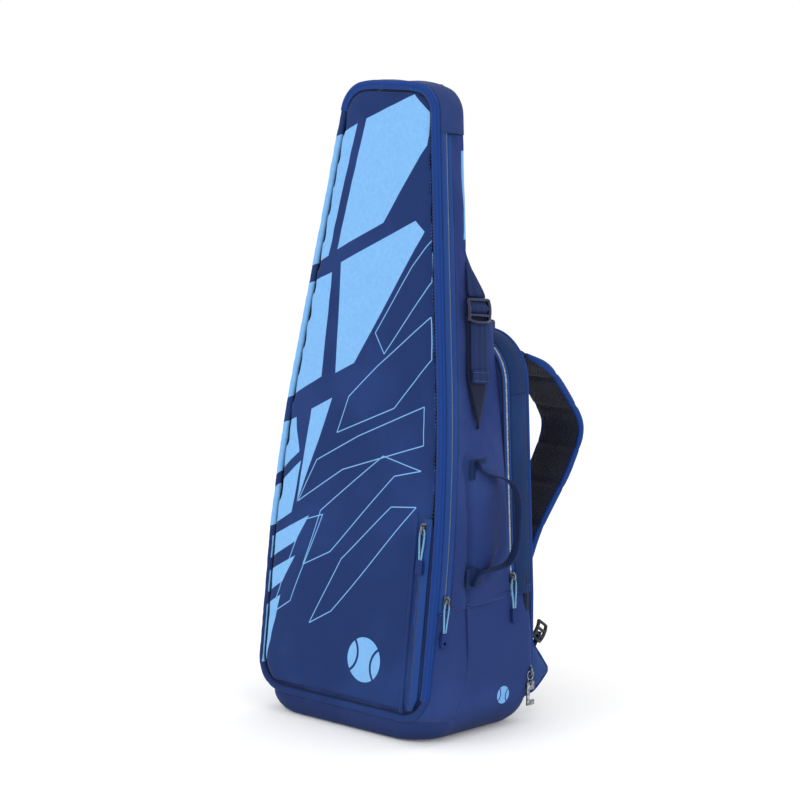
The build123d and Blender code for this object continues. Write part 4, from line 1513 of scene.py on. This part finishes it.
# %% Ladder locks
class NeckSide:
    """The tapering wall's own directions: across runs back, up runs up the wall."""

    def __init__(self, side):
        turn = math.radians(8.4)
        out = Vector((math.cos(turn), 0, 0)) + up_front * math.sin(turn)
        spot = front_edge.spot(front_edge.reach(0.480, True))
        at = on_front(spot.x, 0.480, -0.053)
        if side < 0:
            out, at = Vector((-out.x, out.y, out.z)), Vector((-at.x, at.y, at.z))
        self.at, self.out = at, out
        self.up = (up_front - out * up_front.dot(out)).normalized()
        self.across = self.up.cross(out)

    def place(self, x, y, height):
        """A point in millimetres across, up and out of the wall."""
        return self.at + (self.across * x + self.up * y + self.out * height) / 1000


def bar(name, points, wide, thick, finish, body):
    """A moulded bar of a buckle through a few points."""
    way = (points[-1] - points[0]).normalized()
    up = way.cross(Vector((0.31, 0.2, 0.93))).normalized()
    return ribbon(name, points, lambda a, along: up, wide, thick, finish, body, 2.6, 12, 1200)


def ladder_lock(name, place, half, top, low, height, finish, body):
    """A buckle of two rails, three bars and a lifted lip; place(x, y, h) is in millimetres."""
    made = []
    middle = (top + low) / 2
    for edge in (-1, 1):
        spots = [
            (top, height - 1.6), ((top + middle) / 2, height), (middle, height + 0.5),
            ((low + middle) / 2, height), (low, height - 1.2),
        ]
        made.append(
            bar(
                f"{name}_rail_{'a' if edge < 0 else 'b'}", [place(edge * half, y, h) for y, h in spots],
                0.0044, 0.0046, finish, body,
            )
        )
    for label, y, h in (
        ("top", top, height - 1.4), ("mid", middle + 2.2, height - 0.2),
        ("low", middle - (middle - low) * 0.45, height),
    ):
        across = [place(x * half, y, h + 0.4 * (1 - x * x)) for x in (-1, -0.5, 0, 0.5, 1)]
        made.append(bar(f"{name}_bar_{label}", across, 0.0042, 0.0036, finish, body))
    lip = [
        (-1, low + 3.4, -0.8), (-0.86, low + 0.6, 0.4), (-0.5, low - 1.0, 1.6), (0, low - 1.3, 2.0),
        (0.5, low - 1.0, 1.6), (0.86, low + 0.6, 0.4), (1, low + 3.4, -0.8),
    ]
    made.append(
        bar(f"{name}_lip", [place(x * half, y, height + h) for x, y, h in lip], 0.0046, 0.0034, finish, body)
    )
    return made


print("neck buckle stands at", [round(c, 3) for c in NeckSide(1).at])

# %% [markdown]
# On each side of the neck a strap ties the compartments together. It comes off the
# wall as webbing, goes round the bars of a ladder lock, and hangs down as a tail with
# a stitched fold over a dark V-shaped tab.

# %% Neck straps
for side, word in ((1, "right"), (-1, "left")):
    neck = NeckSide(side)
    flat = lambda a, along, neck=neck: neck.across
    buckle_body, tail_body = f"neck_buckle_{word}", f"neck_tail_{word}"
    top_web = ribbon(
        f"neck_web_{word}", [
            neck.place(side * x, y, h) for x, y, h in (
                (-11.5, 54, 0.6), (-9.5, 44, 3.0), (-5, 29, 4.8), (0, 15.5, 5.2),
            )
        ],
        flat, lambda a: 0.003 + 0.024 * min(1.0, a * 1.15), 0.0018, navy_webbing, "bag",
    )
    lock = ladder_lock(f"neck_lock_{word}", neck.place, 16.6, 12.0, -11.6, 7.4, navy_plastic, buckle_body)
    threaded = ribbon(
        f"threaded_web_{word}", [
            neck.place(0, y, h) for y, h in (
                (13.0, 4.6), (9.5, 5.0), (6.5, 7.0), (2.6, 9.6), (-0.4, 8.0), (-2.6, 5.0), (-5.4, 4.6),
            )
        ],
        flat, 0.0268, 0.0015, navy_webbing, buckle_body,
    )
    tail = ribbon(
        f"neck_tail_web_{word}", [
            neck.place(x, y, h) for x, y, h in (
                (0, -11.5, 6.0), (0, -16, 6.4), (-0.4, -30, 6.6), (-0.6, -48, 6.4), (-0.4, -64, 6.2),
                (0, -79.5, 6.4),
            )
        ],
        flat, 0.0275, 0.0019, navy_webbing, tail_body,
    )
    fold = ribbon(
        f"neck_tail_fold_{word}", [
            neck.place(x, y, h) for x, y, h in ((0, -66, 7.8), (0, -70, 8.2), (0, -76, 8.1), (0, -79.8, 7.3))
        ],
        flat, 0.0280, 0.0019, navy_webbing, tail_body,
    )
    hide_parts(f"compression_buckle_{word}")
    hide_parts(f"compression_tail_{word}")

    def tab_rule(a, b, neck=neck):
        y = 12 - 142 * a
        narrow = 1.0 if y > -72 else max(0.02, (130 + y) / 58)
        x = (b * 2 - 1) * 15.5 * narrow + (0.0 if y > -72 else -1.2 * (1 - narrow))
        return neck.place(x, y, 4.4 + 0.35 * math.sin(a * 9) + 0.4 * (1 - (b * 2 - 1) ** 2) - 1.2 * max(0, a - 0.6))

    v_tab = strip(f"v_tab_{word}", tab_rule, 60, 8, (0.142, 0.031), dark_tape, "bag", 0.0030)
    if word == "right":
        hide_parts("compression_anchors")
        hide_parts("compression_webs")

    def on_adjuster(x, y, h, side=side):
        """Millimetres on the strap's adjuster, h towards the wearer's front."""
        return Vector((side * strap_x + x / 1000, 0.1215 + h / 1000, 0.144 + y / 1000))

    frame_bars = ladder_lock(
        f"strap_lock_{word}", on_adjuster, 14.6, 9.6, -8.6, 0.6, black_plastic, f"adjuster_{word}",
    )
    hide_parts(f"strap_adjuster_{word}")

    lean_back = math.radians(-35)

    def on_waist(x, y, h, side=side):
        """Millimetres on the waist buckle, which lies in the wing's plane."""
        turned = Vector(
            (x * math.cos(lean_back) - y * math.sin(lean_back), x * math.sin(lean_back) + y * math.cos(lean_back))
        )
        return Vector((side * (0.111 + h / 1000), 0.137 + turned.x / 1000, 0.093 + turned.y / 1000))

    frame_bars = ladder_lock(
        f"waist_lock_{word}", on_waist, 7.4, 10.4, -9.6, 0.2, black_plastic, f"wing_buckle_{word}",
    )
    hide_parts(f"waist_buckle_{word}")
print("tail", round(tail.dimensions.z, 3), "m long")

# %% [markdown]
# The back is a padded wall of spacer mesh. Two long pads stand beside the spine and
# one lies across the hips, so that air can pass between them. They are foam, and are
# blown up from flat shapes as the front panel was.

# %% Back panel and pads
def back_rule(a, b):
    z = 0.028 + (0.4395 - 0.028) * b
    side = main_edge.spot(main_edge.reach(min(max(z, 0.026), 0.4410), True)).x - 0.0014
    x = (a * 2 - 1) * side
    edge = min(1.0, 10 * a * (1 - a)) * min(1.0, 14 * b * (1 - b))
    return Vector((x, 0.0962 + 0.0020 * edge + ripple(x, 0, z, 22, 3) * 0.0008, z))


back_cloth = strip("back_mesh", back_rule, 60, 90, (0.26, 0.41), mesh_cloth, "bag", 0.0012, 1.0)
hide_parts("back_panel")


def rounded_box(width, height, corner, steps=8):
    """A rounded rectangle, from a quad whose corners are bevelled."""
    flat = bmesh.new()
    dots = [flat.verts.new((x * width / 2, y * height / 2, 0)) for x, y in ((-1, -1), (1, -1), (1, 1), (-1, 1))]
    flat.faces.new(dots)
    bmesh.ops.bevel(
        flat, geom=dots, offset=corner, offset_type="OFFSET", segments=steps, profile=0.5, affect="VERTICES",
        material=-1,
    )
    flat.faces.ensure_lookup_table()
    points = [tuple(corner.vert.co[:2]) for corner in flat.faces[0].loops]
    flat.free()
    return points


def back_pad(name, centre_x, centre_z, width, height, channels):
    """A pad on the back, with sewn channels across it."""
    made = flat_pad(rounded_box(width - 0.004, height - 0.004, 0.017), 0.0075, name)
    work = blow_up(made, 0.0035, 3.0, 0.0030, 2)
    for dot in work.verts:
        x, y, w = dot.co
        if w > -0.004:
            dip = sum(math.exp(-(((y - line) / 0.0022) ** 2)) for line in channels)
            dot.co.z -= 0.0026 * min(1.0, dip)
        dot.co = Vector((centre_x + dot.co.x, 0.0986 + 0.0080 + dot.co.z, centre_z + dot.co.y))
    bpy.data.objects.remove(made)
    pad = finish_piece(name, work, mesh_cloth, "bag")
    return pad


pad_right = back_pad("back_pad_right", 0.050, 0.287, 0.056, 0.180, (-0.045, 0.0, 0.045))
back_pad("back_pad_left", -0.050, 0.287, 0.056, 0.180, (-0.045, 0.0, 0.045))
pad_low = back_pad("back_pad_low", 0.0, 0.105, 0.130, 0.076, (-0.014, 0.014))
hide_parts("back_pads")
print("pads", len(pad_right.data.vertices), len(pad_low.data.vertices))

# %% [markdown]
# The waist wings are small padded flaps that fold out from the hips: blue cloth on the
# outer face, mesh on the inner, bright binding on the free edge, and a webbing tab
# with its buckle at the tip.

# %% Waist wings
wing_points = [
    (0.008, 0.090), (0.024, 0.081), (0.0465, 0.053), (0.0485, 0.048), (0.0465, 0.043), (0.025, 0.027),
    (0.008, 0.026),
]
for side, word in ((1, "right"), (-1, "left")):
    made = flat_pad([(y + 0.0985, z) for y, z in wing_points], 0.0085, f"waist_pad_{word}")
    work = blow_up(made, 0.0028, 2.5, 0.0020, 2)
    for dot in work.verts:
        y, z, w = dot.co
        crease = math.exp(-(((y - 0.120) / 0.0016) ** 2)) * 0.0014
        w = w + 0.00425
        w -= math.copysign(crease, w)
        dot.co = Vector((side * (0.111 + w), y, z))
    bpy.data.objects.remove(made)
    for face in work.faces:
        face.normal_update()
        face.material_index = 1 if face.calc_center_median().x * side < 0.1105 else 0
    wing = finish_piece(f"waist_pad_{word}", work, [strap_cloth, mesh_cloth], f"wing_{word}")
    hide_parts(f"waist_wing_{word}")
    rim = ribbon(
        f"waist_edge_{word}", [Vector((side * 0.111, 0.0985 + y, z)) for y, z in wing_points],
        lambda a, along: Vector((1, 0, 0)), 0.0075, 0.0030, bright_binding, f"wing_{word}", 2.4, 10, 500,
    )
    tab = ribbon(
        f"wing_tab_{word}", [
            Vector((side * 0.111, y, z)) for y, z in (
                (0.1220, 0.072), (0.1285, 0.0815), (0.1335, 0.0890), (0.1365, 0.0930),
            )
        ],
        lambda a, along: Vector((1, 0, 0)), 0.0070, 0.0016, navy_webbing, None,
    )
    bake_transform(tab)
    root = ribbon(
        f"wing_root_{word}", [Vector((side * 0.111, y, 0.058)) for y in (0.0895, 0.0960, 0.1015, 0.1085)],
        lambda a, along: Vector((0, 0, 1)), 0.0600, 0.0036, strap_cloth, None, 3.0, 24, 60,
    )
    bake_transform(root)
    if side > 0:
        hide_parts("wing_anchors")
print("wing", [round(c, 3) for c in wing.dimensions])

# %% [markdown]
# Rows of stitches hold it all together. Each stitch is a short thread, a squashed
# sphere pressed into the cloth, and a row of them follows an edge at a fixed pitch.

# %% Stitches
def stitches(name, spots, ways, outs, finish=thread, body="bag", long=0.0024, thick=0.0006):
    """One thread per spot, lying along its way."""
    work = bmesh.new()
    batch = bpy.data.meshes.new(name + "_batch")
    for first in range(0, len(spots), 40):
        some = bmesh.new()
        for spot, way, out in list(zip(spots, ways, outs))[first:first + 40]:
            across = way.cross(out).normalized()
            turned = Matrix((across, way, out)).transposed().to_4x4()
            size = Matrix.Diagonal((thick / 2, long / 2, thick / 2, 1))
            bmesh.ops.create_uvsphere(
                some, u_segments=6, v_segments=4, radius=1.0, matrix=Matrix.Translation(spot) @ turned @ size,
            )
        some.to_mesh(batch)
        some.free()
        work.from_mesh(batch)
    bpy.data.meshes.remove(batch)
    return finish_piece(name, work, finish, body)


def stitch_front(name, start, stop, inset, height, pitch=0.0042):
    spots, ways, outs = [], [], []
    count = int((stop - start) / pitch)
    for i in range(count):
        s = start + (stop - start) * (i + 0.5) / count
        spot, out = front_edge.at(s)
        spots.append(on_front(spot.x - out.x * inset, spot.y - out.y * inset, height))
        ways.append((Vector((-out.y, 0, 0)) + up_front * out.x).normalized())
        outs.append(out_front)
    return stitches(name, spots, ways, outs)


stitch_front("panel_stitches", foot_right, neck_left, 0.0118, 0.0004)
stitch_front("binding_stitches", foot_right, neck_left, 0.0078, 0.0016, 0.0036)


def stitch_line(name, points, out_of, pitch=0.0040, body="bag", lift=0.0):
    spot, total = smooth_line(points)
    count = max(2, int(total / pitch))
    spots, ways, outs = [], [], []
    for i in range(count):
        a = (i + 0.5) / count
        way = (spot(a + 0.01) - spot(a - 0.01)).normalized()
        out = out_of(spot(a))
        out = (out - way * out.dot(way)).normalized()
        spots.append(spot(a) + out * lift)
        ways.append(way)
        outs.append(out)
    return stitches(name, spots, ways, outs, body=body)


for word, turn in (("right", 1), ("left", -1)):
    row = [Vector((turn * 0.1352, p.y, p.z - 0.0036)) for p in seam_points]
    stitch_line(f"seam_stitches_{word}", row, right_out if turn > 0 else left_out)
    neck = NeckSide(turn)
    for index, y in enumerate((-68.5, -77.5)):
        row = [neck.place(x, y, 9.2) for x in (-12, -4, 4, 12)]
        stitch_line(
            f"fold_stitches_{word}_{index}", row, lambda spot, neck=neck: neck.out, 0.0030,
            f"neck_tail_{word}",
        )

# %% [markdown]
# The floor is a pale sheet that takes a soft shadow. It glows slightly, so that it
# meets the white surround without a line.

# %% Floor
work = bmesh.new()
bmesh.ops.create_grid(work, x_segments=1, y_segments=1, size=6)
pale_floor = Finish(
    "pale_floor", (248, 248, 248), 0.8, emission_color=(1.0, 1.0, 1.0, 1.0), emission_strength=0.10,
    specular_ior_level=0.1,
)
floor = finish_piece("floor", work, pale_floor, None, False)
print("floor", round(floor.dimensions.x), "m wide")

# %% [markdown]
